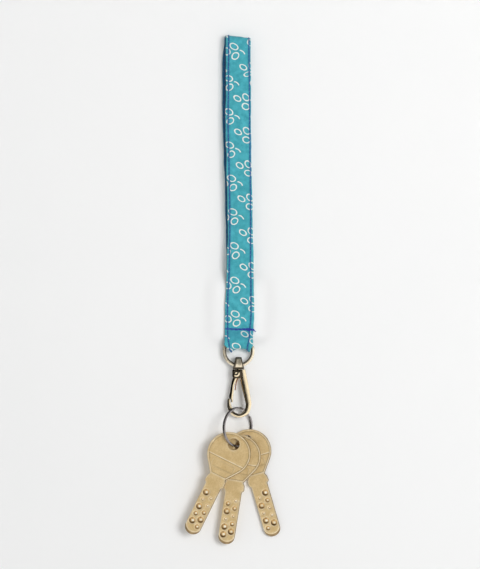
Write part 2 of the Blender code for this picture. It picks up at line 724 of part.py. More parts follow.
def dimple_cutters(name, early_side, early, late, collection):
    """Cones for one key: both rows on the front, and both again with the key turned over."""
    bm = bmesh.new()
    for face in (-1, 1):
        rows = ((early_side * -face, EARLY_ROW, early), (early_side * face, LATE_ROW, late))
        for side, start, sizes in rows:
            for index, size in enumerate(sizes):
                below = BOW_DROP + start + index * DIMPLE_PITCH
                add_dimple(bm, DIMPLES[size], face, side * DIMPLE_ROW_X, -below)
    return mesh_object(name, bm, collection)


def add_dimple(bm, size, face, x, z):
    """One cone into the front (face -1) or the back (face 1) of a key."""
    mouth, depth = size
    slope = mouth * (1 - DIMPLE_FLOOR) / depth
    length = depth + CUTTER_STAND
    middle = face * (KEY_THICKNESS / 2 - depth + length / 2)
    turn = Matrix.Rotation(math.radians(-90 * face), 4, "X")
    place = Matrix.Translation((x, middle, z)) @ turn
    bmesh.ops.create_cone(bm, cap_ends=True, segments=DIMPLE_SIDES, radius1=mouth * DIMPLE_FLOOR,
                          radius2=mouth + slope * CUTTER_STAND, depth=length, matrix=place)


def make_key(name, centre, swing, early_side, early, late, parts, cutters, finish):
    """One key, its origin at its hole's centre."""
    hole = arc((0.0, 0.0), HOLE_RADIUS, 360, 360 / HOLE_STEPS, HOLE_STEPS - 1)
    key = plate(name, [key_outline(), hole], KEY_THICKNESS / 2, parts, finish)
    key.data.transform(Matrix.Rotation(math.radians(90), 4, "X"))
    key.rotation_euler = (0.0, math.radians(swing), 0.0)
    key.location = centre
    bevel(key, KEY_BEVEL, segments=1)
    cones = dimple_cutters(name + "_dimples", early_side, early, late, cutters)
    cones.rotation_euler = key.rotation_euler
    cones.location = centre
    boolean(key, cones, "DIFFERENCE")
    return key


# --- Assembly ----------------------------------------------------------------------------
def make_strap(parts, finishes):
    """Everything sewn: cover, core, edge threads and the cross stitch."""
    thread = finishes["thread_blue"]
    cover = make_cover(parts, finishes["printed_cotton"])
    sewn = [make_core(parts, finishes["interfacing"])]
    for side, x in (("left", -EDGE_STITCH_X), ("right", EDGE_STITCH_X)):
        sewn.append(make_edge_thread("needle_thread_" + side, x, True, parts, thread))
        sewn.append(make_edge_thread("bobbin_thread_" + side, x, False, parts, thread))
    sewn.append(make_cross_thread("cross_stitch_front", -1, True, parts, thread))
    sewn.append(make_cross_thread("cross_stitch_back", 1, False, parts, thread))
    for item in sewn:
        attach(item, cover)
    return cover


def main():
    clear_scene()
    parts = new_collection("wristlet_keychain")
    cutters = new_collection("cutters")
    finishes = make_finishes()
    gold = finishes["pale_gold"]
    strap = make_strap(parts, finishes)
    d_ring = make_d_ring(parts, gold)
    eye = make_eye(parts, cutters, gold)
    hook = make_hook(parts, cutters, gold)
    gate = make_gate(parts, cutters, gold)
    rivet = make_rivet(parts, gold)
    spring = make_spring(parts, finishes["spring_copper"])
    ring = make_split_ring(parts, finishes["gunmetal"])
    ring_pivot = add_object("ring_pivot", None, cutters)
    ring_pivot.location = (0.0, 0.0, RING_PIVOT_Z)
    chain = [(d_ring, strap), (eye, d_ring), (hook, eye), (gate, hook), (rivet, hook),
             (spring, gate), (ring_pivot, hook), (ring, ring_pivot)]
    for name, values in KEYS.items():
        key = make_key(name, *values, parts, cutters, finishes["key_brass"])
        chain.append((key, ring))
    for child, parent in chain:
        attach(child, parent)
    for item in (d_ring, eye, hook, rivet, spring, ring):
        if item.type == "MESH":
            shade_smooth(item)


main()
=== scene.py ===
import json
import math

import bmesh
import bpy
import numpy as np
from mathutils import Matrix, Vector
from mathutils.geometry import delaunay_2d_cdt


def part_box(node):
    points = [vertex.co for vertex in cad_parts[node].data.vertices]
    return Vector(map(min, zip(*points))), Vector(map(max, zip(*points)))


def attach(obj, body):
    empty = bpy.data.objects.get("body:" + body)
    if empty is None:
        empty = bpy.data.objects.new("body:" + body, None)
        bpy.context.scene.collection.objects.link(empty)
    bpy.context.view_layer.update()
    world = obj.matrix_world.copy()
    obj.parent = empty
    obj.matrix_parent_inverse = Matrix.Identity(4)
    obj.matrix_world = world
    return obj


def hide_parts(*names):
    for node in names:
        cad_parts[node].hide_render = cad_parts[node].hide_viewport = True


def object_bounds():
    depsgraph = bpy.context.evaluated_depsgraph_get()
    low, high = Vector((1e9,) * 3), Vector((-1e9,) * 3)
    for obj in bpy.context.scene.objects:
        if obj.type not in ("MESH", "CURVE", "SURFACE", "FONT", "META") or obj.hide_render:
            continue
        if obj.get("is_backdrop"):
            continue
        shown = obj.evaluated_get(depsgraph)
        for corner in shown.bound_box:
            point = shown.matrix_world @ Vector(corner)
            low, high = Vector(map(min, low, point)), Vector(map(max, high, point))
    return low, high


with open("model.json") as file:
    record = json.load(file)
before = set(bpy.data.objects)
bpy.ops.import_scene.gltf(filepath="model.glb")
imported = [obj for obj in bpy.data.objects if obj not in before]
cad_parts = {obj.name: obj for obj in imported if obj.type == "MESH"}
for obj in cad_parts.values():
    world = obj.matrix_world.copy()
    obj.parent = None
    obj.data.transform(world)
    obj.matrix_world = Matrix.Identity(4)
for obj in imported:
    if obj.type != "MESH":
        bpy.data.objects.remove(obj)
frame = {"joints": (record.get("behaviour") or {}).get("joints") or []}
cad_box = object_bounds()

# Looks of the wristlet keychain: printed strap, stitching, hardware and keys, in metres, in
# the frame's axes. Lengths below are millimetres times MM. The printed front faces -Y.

MM = 0.001

# --- Places from the frame ---------------------------------------------------------------
JOINTS = {joint["name"]: Vector(joint["pos_m"]) for joint in frame["joints"]}
BAR = JOINTS["d_ring_swing"]
RING_LOW = JOINTS["eye_swing"]
SWIVEL = JOINTS["hook_swivel"]
PIVOT = JOINTS["gate_open"]
COVER_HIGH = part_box("cotton_cover")[1]
FLOOR_DROP = 34 * MM  # floor below the longest key's tip
# The backdrop lies close behind the parts: (depth below the loop's top, distance behind
# y = 0), in millimetres.
BACKDROP = ((-400, 3.9), (200, 3.9), (238, 4.6), (420, 4.6))
# Its two patches: one comes forward beside the strap's flat lower end, and one gives way
# behind the split ring's rear side. Each has its own distance behind y = 0, and starts, is
# full, begins to end and ends at four places across and four places down, in millimetres.
BACKDROP_PATCHES = ((-1.2 * MM, (-24, -11, 13, 26), (138, 153, 180, 189)),
                    (8.4 * MM, (-3.0, 4.0, 10.5, 30.0), (206, 223, 240, 252)))
BACKDROP_FINE = (48, 20)  # its grid is fine this far to each side and up, in millimetres
BACKDROP_LEAP = 4.0  # how fast it first gives way when a part swings rearwards
FRONTAL = 0.9  # it is clear to a camera that faces it less squarely than this
STAGE_HALF = 3.0  # half the floor's and the backdrop's width, in metres

# --- Strap -------------------------------------------------------------------------------
STRAP_HALF_THICKNESS = 1.0 * MM
LOOP_HALF_GAP = COVER_HIGH.y - STRAP_HALF_THICKNESS  # centre line of each layer from y = 0
LOOP_FLAT = 1.2 * MM
TOP_Z = COVER_HIGH.z - STRAP_HALF_THICKNESS  # centre line over the top
TAIL_TOP_Z = BAR.z + 16.2 * MM
JOIN_START_Z = BAR.z + 37.8 * MM
JOIN_END_Z = BAR.z + 21.8 * MM
STRAP_END_Z = BAR.z + 1.6 * MM
STRAP_STEP = 0.6 * MM
STRAP_AROUND = 104
EDGE_ROUND = 0.75 * MM
CORE_AROUND = 40
CORE_END = 1.5 * MM  # how far it stops short of the strap's ends
CORE_INSET = 0.9 * MM  # and of its edges
CORE_SHARE = 0.45  # its share of the strap's thickness
# Down each layer from the loop's top: (depth, centre, half width), all in millimetres.
FRONT_SHAPE = ((0, -0.1, 7.5), (45, -0.2, 7.8), (80, 0.35, 7.7), (108, 0.95, 7.65),
               (118, 1.05, 7.6), (134, 1.15, 8.2), (150, 0.95, 8.5), (168, 0.75, 8.85),
               (187, 0.1, 8.75))
REAR_SHAPE = ((0, -0.7, 8.1), (14, -1.5, 8.4), (45, -1.45, 8.45), (72, -0.9, 8.3),
              (88, -0.4, 8.0), (104, -0.2, 8.1), (116, 0.3, 8.05), (134, 0.75, 8.1),
              (187, 0.1, 8.6))
# Down the front: (depth, left row, right row), as x in millimetres.
FRONT_STITCHES = ((0, -6.0, 6.3), (47, -6.3, 6.8), (108, -5.3, 7.3), (134, -5.5, 7.3),
                  (168, -6.8, 7.6), (181, -6.6, 6.7), (191, -5.3, 5.1))
REAR_STITCH_INSET = 1.6 * MM
TOP_SLANT = 1.75 * MM  # the fold's right end is this much lower than its left
TOP_SLANT_REACH = 14 * MM
FOLD_NARROWING = 0.31
FOLD_SHIFT = 0.8 * MM
FOLD_TUCK = 2.85 * MM  # how far the cloth draws up in the middle of its lower fold
FOLD_DROP = 0.8 * MM  # how far the fold hangs clear of the bar

# --- Stitching ---------------------------------------------------------------------------
STITCH_PITCH = 2.55 * MM
STITCH_LENGTH = 2.3 * MM
STITCH_RADIUS = 0.40 * MM
STITCH_SIDES = 8
ALONG_STITCH = np.linspace(0, 1, 9)
CROSS_Z = BAR.z + 10.4 * MM
CROSS_RISE = 0.45 * MM  # its left end is higher by this
CROSS_HALF = 8.9 * MM
CROSS_SHIFT = 0.6 * MM
CROSS_COUNT = 7
CROSS_ROWS_APART = 0.62 * MM
CROSS_RADIUS = 0.30 * MM
# The thread's loose end: (across, out from the cloth, up from the stitches), in millimetres.
LOOSE_END = ((7.4, 0.15, 0.1), (8.6, 0.55, -0.2), (9.5, 0.35, -0.7), (10.1, 0.1, -1.2),
             (10.6, -0.2, -1.35))

# --- Hardware ------------------------------------------------------------------------------
D_WIRE = 1.1 * MM
D_ARC = BAR.z - RING_LOW.z
D_ARC_RADIUS = 8.6 * MM
D_CORNER = 1.5 * MM
EYE_LIFT = 1.14 * MM  # its hole's centre above the D-ring's lowest point
EYE_RADII = (2.45, 3.95)
EYE_WIDTHS = (3.8, 7.0)  # at its top and its base
EYE_BASE = 0.25 * MM  # above the swivel's joint
# The hook's limb from the swivel: (across, up, half width, half depth), in millimetres.
LIMB = ((2.3, -0.05, 1.85, 2.2), (2.55, -2.0, 1.95, 2.1), (3.25, -6.45, 2.1, 1.9),
        (4.15, -10.85, 2.1, 1.75), (4.95, -14.65, 1.95, 1.6), (5.7, -18.45, 1.85, 1.45),
        (6.1, -21.55, 1.7, 1.3), (4.7, -25.85, 1.6, 1.1), (0.5, -28.15, 1.15, 1.25),
        (-3.7, -26.35, 1.2, 1.3), (-5.5, -22.65, 1.3, 1.3), (-5.9, -19.9, 0.95, 1.25),
        (-5.9, -18.1, 0.8, 1.15))
CHEEK = ((-3.8, -5.3), (1.9, 0.0))  # lower left and upper right corners of the slotted block
CHEEK_ROUNDS = (1.7, 1.5, 0.3, 0.7)  # its corners, from the lower left to the right
CHEEK_BEVEL = 0.45 * MM
CHEEK_HALF_DEPTH = 2.4 * MM
SLOT_CORNER = (1.3, -0.85)  # the slot's upper right corner
SLOT_HALF_DEPTH = 1.6 * MM
STEM = ((-0.5, 1.0), (0.0, 1.0), (0.6, 1.0), (1.0, 0.9))  # its heights and radii
SHARP, SHARP_CUT = 40, 38  # edges sharper than this stay sharp, before and after a cut
# The gate from its pivot: (across, up, half width, half depth), in millimetres.
GATE = ((0.1, 1.1, 0.5, 1.0), (0.05, 0.5, 1.15, 1.35), (-0.05, -0.6, 1.35, 1.4),
        (-0.75, -2.6, 1.4, 1.4), (-1.4, -4.2, 1.3, 1.4), (-2.25, -7.0, 1.1, 1.4),
        (-2.75, -11.0, 1.2, 1.35), (-3.2, -14.2, 1.35, 1.3), (-3.0, -15.1, 1.0, 1.25),
        (-2.75, -15.9, 0.72, 1.15), (-2.65, -17.3, 0.62, 1.05))
# The gate's hollow from its pivot, open to the rest of the hook on the right.
CHANNEL = ((2.4, 2.0), (2.4, -18.2), (-2.45, -18.2), (-2.2, -11.0), (-1.6, -7.0), (-0.6, -3.4),
           (-1.1, -1.4), (-1.9, -0.6), (-1.9, 2.0))
CHANNEL_HALF_DEPTH = 0.85 * MM
RIVET_HEAD, RIVET_PIN = 2.05 * MM, 0.65 * MM
RIVET_RISE, RIVET_DIMPLE = 0.55 * MM, 0.3 * MM
SPRING_RADIUS = 1.12 * MM
SPRING_WIRE = 0.31 * MM
SPRING_TURNS = 2.75
SPRING_PITCH = 0.43 * MM
SPRING_LEG = ((1.12, -2.0), (0.7, -3.2), (-0.05, -4.9), (-0.5, -7.4), (-0.8, -10.2))
RING_RADIUS = 11.6 * MM
RING_WIRE = (0.6, 0.375)  # half width and half height of each coil, in millimetres
RING_CENTRE = Vector((-0.0005, -0.0010, RING_LOW.z - 0.0376))
RING_TURN = (44, -7)  # yaw and lean, in degrees
RING_JOG = 36

# --- Keys: millimetres, in a key's own plane, up from the centre of its round bow -----------
KEY_HALF = 1.2  # half its thickness
BOW_RADIUS = 13.3
BOW_TAPER = 36
HOLE_UP = 6.5
HOLE_RADIUS = 3.6
HOLE_AROUND = 48
OUTLINE_INSETS = (0.02, 0.08, 0.17, 0.28, 0.5)  # lines of points inside the outline
DIMPLE_AROUND = 28
NECK = ((5.1, -15.6), (6.1, -17.4), (6.4, -20.3), (5.05, -21.6))
NECK_ROUND = 0.55
BLADE_HALF = 5.05
TIP = -54.1
EDGE_ROUNDS = (0.28, 0.22)  # outline and hole
RIM_WIDTH = 1.05
PANEL_DEPTH = 0.17
PANEL_LOW = -14.5
STEP_LINE = -4.4
BLANK = (6.9, -6.0, -10.6)  # half width, top and bottom of the faint recess
TIP_ARC_UP = 1.75
TIP_SLOPE = 0.55
ROW_X = 2.2
DIMPLE_PITCH = 4.75
ROW_STARTS = (-27.0, -29.3)
DIMPLES = {"L": (2.05, 0.60), "M": (1.5, 0.45), "S": (0.95, 0.25)}  # mouth and depth
DIMPLE_FLOOR = 0.3
RIM_SHADE = math.radians(-12)  # the side on which a key's rim is dark
# The sides on which a dimple is dark: most of its lower left, and a little of its top.
DIMPLE_SHADE, DIMPLE_TOP_SHADE = math.radians(228), math.radians(95)
# Each key: its swing from hanging straight, the side of its early row, and both rows.
KEYS = {"key_1": (26.3, -1, "LSLML", "SSMLM"),
        "key_2": (9.0, 1, "SMSML", "MLSLL"),
        "key_3": (-16.2, 1, "LMSSL", "SLSLM")}

# --- Print: cream ovals and dashes on turquoise --------------------------------------------
PRINT_REPEAT = (20.1 * MM, 20.5 * MM)
PRINT_START = 6.4 * MM  # first row below the loop's top, along the cloth
STROKE = 0.335 * MM  # half width of a printed line
# Each oval: centre across and down, half axes, and its tilt in degrees.
OVALS = (
    (0.0, 0.0, 2.5, 1.75, 24),
    (-4.5, 3.1, 2.15, 1.9, 40),
    (0.8, 5.6, 2.25, 1.75, -38),
    (5.5, 12.5, 2.25, 1.45, 34),
    (10.7, 11.8, 2.3, 1.6, 52),
    (10.4, 17.3, 2.2, 1.75, 20),
)
# Each dash: the middle of its arc, in millimetres.
DASHES = ((5.4, 2.8), (15.0, 14.1))
DASH_RADIUS = 3.1 * MM
DASH_HALF_ANGLE = 38
DASH_FACING = -52  # direction of its bulge, across and down, in degrees
# Drift of the print along the front: (depth, shift across, shift down) in millimetres.
PRINT_DRIFT = ((0, -2.75, 0.4), (5, -2.75, 0.5), (14, -2.7, 1.1), (19, -2.6, 1.0),
               (24, -6.0, -0.1), (28, -6.3, -0.4), (37, -6.2, -0.5), (45, -5.9, -0.3),
               (57, -5.8, -0.6), (65, -5.5, -0.6), (78, -4.8, -0.7), (86, -4.2, -0.9),
               (106, -3.45, -0.9), (126, -2.6, -0.8), (140, -2.4, -0.3), (160, -2.0, -0.15),
               (170, -2.0, -0.3), (180, -1.8, -0.5), (187, -1.3, -1.1), (192, -1.0, -2.1))


# --- Numbers -------------------------------------------------------------------------------
def smoothstep(t):
    t = np.clip(t, 0.0, 1.0)
    return t * t * (3 - 2 * t)


def bell(value, width):
    return np.exp(-(value / width) ** 2)


def stations(table, depth, column):
    """One column of a table of stations, smoothly joined, at depths in metres."""
    rows = np.array(table, float) * MM
    at, values = rows[:, 0], rows[:, column]
    index = np.clip(np.searchsorted(at, depth, side="right") - 1, 0, len(at) - 2)
    t = (depth - at[index]) / (at[index + 1] - at[index])
    return values[index] + (values[index + 1] - values[index]) * smoothstep(t)


def wobble(values, period, seed):
    """Smooth random numbers from -1 to 1 along a line, one knot each period."""
    knots = np.random.default_rng(seed).uniform(-1, 1, 997)
    place = np.asarray(values, float) / period + 300.5
    index = np.floor(place).astype(int)
    t = smoothstep(place - index)
    return knots[index % 997] * (1 - t) + knots[(index + 1) % 997] * t


def dapple(u, v, size, seed):
    """Smooth random numbers from -1 to 1 over a plane."""
    knots = np.random.default_rng(seed).uniform(-1, 1, (211, 211))
    a, b = np.asarray(u, float) / size + 60.5, np.asarray(v, float) / size + 60.5
    i, j = np.floor(a).astype(int), np.floor(b).astype(int)
    s, t = smoothstep(a - i), smoothstep(b - j)
    i, j, i2, j2 = i % 211, j % 211, (i + 1) % 211, (j + 1) % 211
    low = knots[i, j] * (1 - s) + knots[i2, j] * s
    high = knots[i, j2] * (1 - s) + knots[i2, j2] * s
    return low * (1 - t) + high * t


def unit(rows):
    return rows / np.linalg.norm(rows, axis=-1)[..., None]


def lengths_along(points):
    return np.concatenate([[0], np.cumsum(np.linalg.norm(np.diff(points, axis=0), axis=1))])


def spline_through(knots, steps):
    """Catmull-Rom points through knots of any number of values."""
    knots = np.array(knots, float)
    ends = np.vstack([2 * knots[0] - knots[1], knots, 2 * knots[-1] - knots[-2]])
    points = []
    for a, b, c, d in zip(ends, ends[1:], ends[2:], ends[3:]):
        for step in range(steps):
            t = step / steps
            points.append(0.5 * (2 * b + (c - a) * t + (2 * a - 5 * b + 4 * c - d) * t**2
                                 + (3 * b - a - 3 * c + d) * t**3))
    points.append(knots[-1])
    return np.array(points)


def full_turn(count):
    return np.linspace(0, 2 * math.pi, count, endpoint=False)


def arc(centre, radius, start, end, steps):
    """Points of a circular arc, its ends in degrees."""
    angles = np.radians(np.linspace(start, end, steps + 1))
    return np.stack([centre[0] + radius * np.cos(angles),
                     centre[1] + radius * np.sin(angles)], axis=1)


# --- Meshes --------------------------------------------------------------------------------
def add_object(name, data):
    item = bpy.data.objects.new(name, data)
    bpy.context.scene.collection.objects.link(item)
    return item


def mesh_object(name, bm):
    mesh = bpy.data.meshes.new(name)
    bm.to_mesh(mesh)
    bm.free()
    return add_object(name, mesh)


def dress(item, material, smooth_angle=None):
    """Gives a piece its one material, and edges that are sharp above an angle."""
    item.data.materials.clear()
    item.data.materials.append(material)
    item.data.shade_smooth()
    if smooth_angle:
        item.data.set_sharp_from_angle(angle=math.radians(smooth_angle))
    return item


def finish_mesh(name, bm, material, smooth_angle=None):
    bmesh.ops.recalc_face_normals(bm, faces=bm.faces)
    return dress(mesh_object(name, bm), material, smooth_angle)


def loft_mesh(name, rings, material, smooth_angle=None, **loft):
    bm = bmesh.new()
    add_loft(bm, rings, **loft)
    return finish_mesh(name, bm, material, smooth_angle)


def tube_mesh(name, points, radius, sides, material, **tube):
    bm = bmesh.new()
    add_tube(bm, points, radius, sides, **tube)
    return finish_mesh(name, bm, material)


def add_loft(bm, rings, wrap=False, uv=None, capped=True):
    """Quads between rings of points; each ring is closed. uv has one column more."""
    rings = np.asarray(rings, float)
    count, around = rings.shape[:2]
    layer = bm.loops.layers.uv.verify() if uv is not None else None
    verts = [[bm.verts.new(point) for point in ring] for ring in rings]
    for i in range(count if wrap else count - 1):
        low, high = verts[i], verts[(i + 1) % count]
        for j in range(around):
            k = (j + 1) % around
            face = bm.faces.new((low[j], low[k], high[k], high[j]))
            if layer:
                corners = ((i, j), (i, j + 1), (i + 1, j + 1), (i + 1, j))
                for loop, (row, column) in zip(face.loops, corners):
                    loop[layer].uv = uv[row % len(uv)][column]
    if capped and not wrap:
        for ring in (verts[0], verts[-1]):
            middle = bm.verts.new(sum((v.co for v in ring), Vector()) / around)
            for j in range(around):
                bm.faces.new((ring[j], ring[(j + 1) % around], middle))
    return verts


def add_tube(bm, points, radius, sides=10, wrap=False, uv=True):
    """A round tube; radius may be one value or one for each point."""
    points = np.asarray(points, float)
    count = len(points)
    radii = np.broadcast_to(radius, (count,))
    if wrap:
        along = np.roll(points, -1, axis=0) - np.roll(points, 1, axis=0)
    else:
        along = np.gradient(points, axis=0)
    along = unit(along)
    side = np.cross(along[0], (0.31, 0.92, 0.21))
    angles = full_turn(sides)
    rings = []
    for index in range(count):
        side = unit(side - along[index] * (side @ along[index]))
        up = np.cross(along[index], side)
        rings.append([points[index] + radii[index] * (math.cos(a) * side + math.sin(a) * up)
                      for a in angles])
    grid = [[(j / sides, length) for j in range(sides + 1)] for length in lengths_along(points)]
    add_loft(bm, rings, wrap=wrap, uv=grid if uv and not wrap else None)


def set_attribute(item, name, values):
    attribute = item.data.attributes.new(name, "FLOAT", "POINT")
    attribute.data.foreach_set("value", np.asarray(values, np.float32))


def places_from(item, origin):
    """Each vertex's place across, back and up from a point, in millimetres."""
    co = np.zeros(len(item.data.vertices) * 3)
    item.data.vertices.foreach_get("co", co)
    return ((co.reshape(-1, 3) - np.array(origin)) / MM).T


# --- Materials -----------------------------------------------------------------------------
def join(tree, source, target):
    """Feeds a node's input from another node's output, or sets its value."""
    if isinstance(source, bpy.types.NodeSocket):
        tree.links.new(source, target)
    else:
        target.default_value = source


def add_node(tree, kind, inputs=(), **settings):
    made = tree.nodes.new(kind)
    for key, value in settings.items():
        setattr(made, key, value)
    for key, source in dict(inputs).items():
        join(tree, source, made.inputs[key])
    return made


class Nodes:
    """A material's node tree, with short calls for the nodes used here."""

    def __init__(self, name):
        self.material = bpy.data.materials.new(name)
        self.material.use_nodes = True
        self.tree = self.material.node_tree
        self.shader = self.tree.nodes["Principled BSDF"]

    def node(self, kind, inputs=(), **settings):
        return add_node(self.tree, "ShaderNode" + kind, inputs, **settings)

    def math(self, operation, a, b=0.0, c=0.0, clamp=False):
        return self.node("Math", {0: a, 1: b, 2: c}, operation=operation,
                         use_clamp=clamp).outputs[0]

    def vector(self, operation, a, b=(0.0, 0.0, 0.0), c=(0.0, 0.0, 0.0)):
        return self.node("VectorMath", {0: a, 1: b, 2: c}, operation=operation).outputs[0]

    def length(self, a):
        return self.node("VectorMath", {0: a}, operation="LENGTH").outputs["Value"]

    def dot(self, a, b):
        return self.node("VectorMath", {0: a, 1: b}, operation="DOT_PRODUCT").outputs["Value"]

    def attribute(self, name):
        return self.node("Attribute", attribute_name=name).outputs["Fac"]

    def uv(self):
        return self.node("UVMap").outputs[0]

    def place(self):
        return self.node("TexCoord").outputs["Object"]

    def noise(self, vector, scale, detail=2.0, roughness=0.5):
        return self.node("TexNoise", {"Vector": vector, "Scale": scale, "Detail": detail,
                                      "Roughness": roughness}).outputs["Fac"]

    def ramp(self, value, low, high, out_low=0.0, out_high=1.0):
        return self.node("MapRange", {"Value": value, "From Min": low, "From Max": high,
                                      "To Min": out_low, "To Max": out_high},
                         interpolation_type="SMOOTHSTEP").outputs[0]

    def mix(self, factor, a, b, blend="MIX"):
        made = self.node("Mix", data_type="RGBA", blend_type=blend)
        for name, source in (("Factor", factor), ("A", colour(a)), ("B", colour(b))):
            join(self.tree, source, made.inputs[name])
        return made.outputs["Result"]

    def bump(self, height, distance, strength=1.0, normal=None):
        inputs = {"Height": height, "Distance": distance, "Strength": strength}
        if normal:
            inputs["Normal"] = normal
        return self.node("Bump", inputs).outputs[0]

    def finish(self, **inputs):
        for key, source in inputs.items():
            join(self.tree, source, self.shader.inputs[key.replace("_", " ")])
        return self.material


def colour(value):
    """A colour as four numbers, or a node's output as it is."""
    return (*value, 1.0) if isinstance(value, tuple) and len(value) == 3 else value


def printed_ovals(nodes, at):
    """How much print covers a point of the cloth, given across and down."""
    covered = None
    for across, down, long_half, short_half, tilt in OVALS:
        place = wrapped(nodes, at, across, down)
        turned = nodes.node("VectorRotate", {"Vector": place, "Angle": math.radians(-tilt)},
                            rotation_type="Z_AXIS").outputs[0]
        scaled = nodes.vector("MULTIPLY", turned,
                              (1 / (long_half * MM), 1 / (short_half * MM), 0.0))
        away = nodes.math("ABSOLUTE", nodes.math("SUBTRACT", nodes.length(scaled), 1.0))
        mean = (long_half + short_half) / 2 * MM
        inside, outside = (STROKE - 0.05 * MM) / mean, (STROKE + 0.05 * MM) / mean
        shape = nodes.ramp(away, inside, outside, 1.0, 0.0)
        covered = nodes.math("MAXIMUM", covered, shape) if covered else shape
    return covered


def printed_dashes(nodes, at, covered):
    """Adds the short arcs between the ovals."""
    facing = math.radians(DASH_FACING)
    direction = (math.cos(facing), math.sin(facing), 0.0)
    limit = math.cos(math.radians(DASH_HALF_ANGLE))
    for across, down in DASHES:
        place = wrapped(nodes, at, across - DASH_RADIUS / MM * direction[0],
                        down - DASH_RADIUS / MM * direction[1])
        away = nodes.math("ABSOLUTE", nodes.math("SUBTRACT", nodes.length(place), DASH_RADIUS))
        line = nodes.ramp(away, STROKE - 0.06 * MM, STROKE + 0.04 * MM, 1.0, 0.0)
        turn = nodes.dot(nodes.vector("NORMALIZE", place), direction)
        end = nodes.ramp(turn, limit - 0.012, limit + 0.012)
        covered = nodes.math("MAXIMUM", covered, nodes.math("MULTIPLY", line, end))
    return covered


def wrapped(nodes, at, across, down):
    """Place from the nearest copy of a point of the repeating print."""
    moved = nodes.vector("SUBTRACT", at, (across * MM, down * MM, 0.0))
    half = (PRINT_REPEAT[0] / 2, PRINT_REPEAT[1] / 2, 1.0)
    return nodes.vector("WRAP", moved, half, tuple(-value for value in half))


def cotton_material():
    """Plain-weave cotton with its print and creases, painted shade beside its stitches and below
    the cross stitches, and painted shade and light over its weave.
    """
    nodes = Nodes("printed_cotton")
    uv = nodes.uv()
    bleed = nodes.node("TexNoise", {"Vector": uv, "Scale": 700.0, "Detail": 1.0})
    bleed = nodes.vector("SUBTRACT", bleed.outputs["Color"], (0.5, 0.5, 0.5))
    at = nodes.vector("ADD", uv, nodes.vector("MULTIPLY", bleed, (0.0004, 0.0004, 0.0)))
    at = nodes.vector("SUBTRACT", at, (0.0, PRINT_START, 0.0))
    covered = printed_dashes(nodes, at, printed_ovals(nodes, at))
    mottle = nodes.noise(uv, 260.0, 4.0, 0.6)
    patches = nodes.noise(uv, 70.0, 2.0)
    teal = nodes.mix(nodes.ramp(mottle, 0.3, 0.7), (0.048, 0.330, 0.405), (0.084, 0.470, 0.555))
    teal = nodes.mix(nodes.ramp(patches, 0.35, 0.7, 0.0, 0.35), teal, (0.055, 0.36, 0.40))
    worn = nodes.noise(uv, 900.0, 2.0)
    ink = nodes.math("MULTIPLY", covered, nodes.ramp(worn, 0.25, 0.45, 0.86, 1.0))
    printed = nodes.mix(ink, teal, (0.80, 0.83, 0.78))
    # Painted shade: the cloth darkens beside its stitches, below the cross stitches and on the
    # rear layer's inside near its left edge.
    painted_cloth_shade = nodes.attribute("painted_cloth_shade")
    shade = nodes.mix(nodes.math("MULTIPLY", painted_cloth_shade, 0.55), printed, (0.02, 0.12, 0.26))
    # Painted shade between the weave's yarns and painted light on their crossings.
    weave = weave_height(nodes, uv, 3300.0)
    fine = nodes.ramp(weave, 0.0, 1.0, 0.90, 1.05)
    grey = nodes.node("CombineColor", dict.fromkeys(("Red", "Green", "Blue"), fine)).outputs[0]
    shade = nodes.mix(1.0, shade, grey, "MULTIPLY")
    creases = nodes.bump(nodes.noise(uv, 330.0, 3.0, 0.55), 0.00035, 0.55)
    normal = nodes.bump(weave, 0.00006, 0.6, creases)
    return nodes.finish(Base_Color=shade, Roughness=0.86, Normal=normal, Sheen_Weight=0.25,
                        Sheen_Roughness=0.5, Specular_IOR_Level=0.25)


def weave_height(nodes, uv, scale):
    """Over and under yarns of a plain weave, 0 to 1."""
    scaled = nodes.node("VectorMath", {0: uv, "Scale": scale * math.pi}, operation="SCALE")
    split = nodes.node("SeparateXYZ", {0: scaled.outputs[0]}).outputs
    over = nodes.math("MULTIPLY", nodes.math("SINE", split["X"]), nodes.math("SINE", split["Y"]))
    return nodes.math("MULTIPLY_ADD", over, 0.5, 0.5)


def thread_material(name, base, light):
    """Twisted two-ply sewing thread."""
    nodes = Nodes(name)
    split = nodes.node("SeparateXYZ", {0: nodes.uv()}).outputs
    turns = nodes.math("MULTIPLY_ADD", split["Y"], 1600.0,
                       nodes.math("MULTIPLY", split["X"], 2.0))
    ply = nodes.math("SINE", nodes.math("MULTIPLY", turns, 2 * math.pi))
    ply = nodes.math("MULTIPLY_ADD", ply, 0.5, 0.5)
    fuzz = nodes.ramp(nodes.noise(nodes.place(), 2500.0, 2.0), 0.2, 0.8, 0.4, 1.0)
    # Painted highlight along the crest of each ply, as the colour runs from base to light.
    tone = nodes.mix(nodes.math("MULTIPLY", ply, fuzz), base, light)
    return nodes.finish(Base_Color=tone, Roughness=0.62, Sheen_Weight=0.4, Sheen_Roughness=0.4,
                        Normal=nodes.bump(ply, 0.00005, 0.7), Specular_IOR_Level=0.3)


def core_material():
    """Stiff interfacing with fibres along the strap."""
    nodes = Nodes("interfacing")
    stretched = nodes.vector("MULTIPLY", nodes.place(), (400.0, 400.0, 1200.0))
    fibres = nodes.noise(stretched, 3.0, 5.0)
    tone = nodes.mix(nodes.ramp(fibres, 0.3, 0.7), (0.66, 0.65, 0.60), (0.82, 0.81, 0.77))
    return nodes.finish(Base_Color=tone, Roughness=0.95, Normal=nodes.bump(fibres, 0.0001, 0.5))


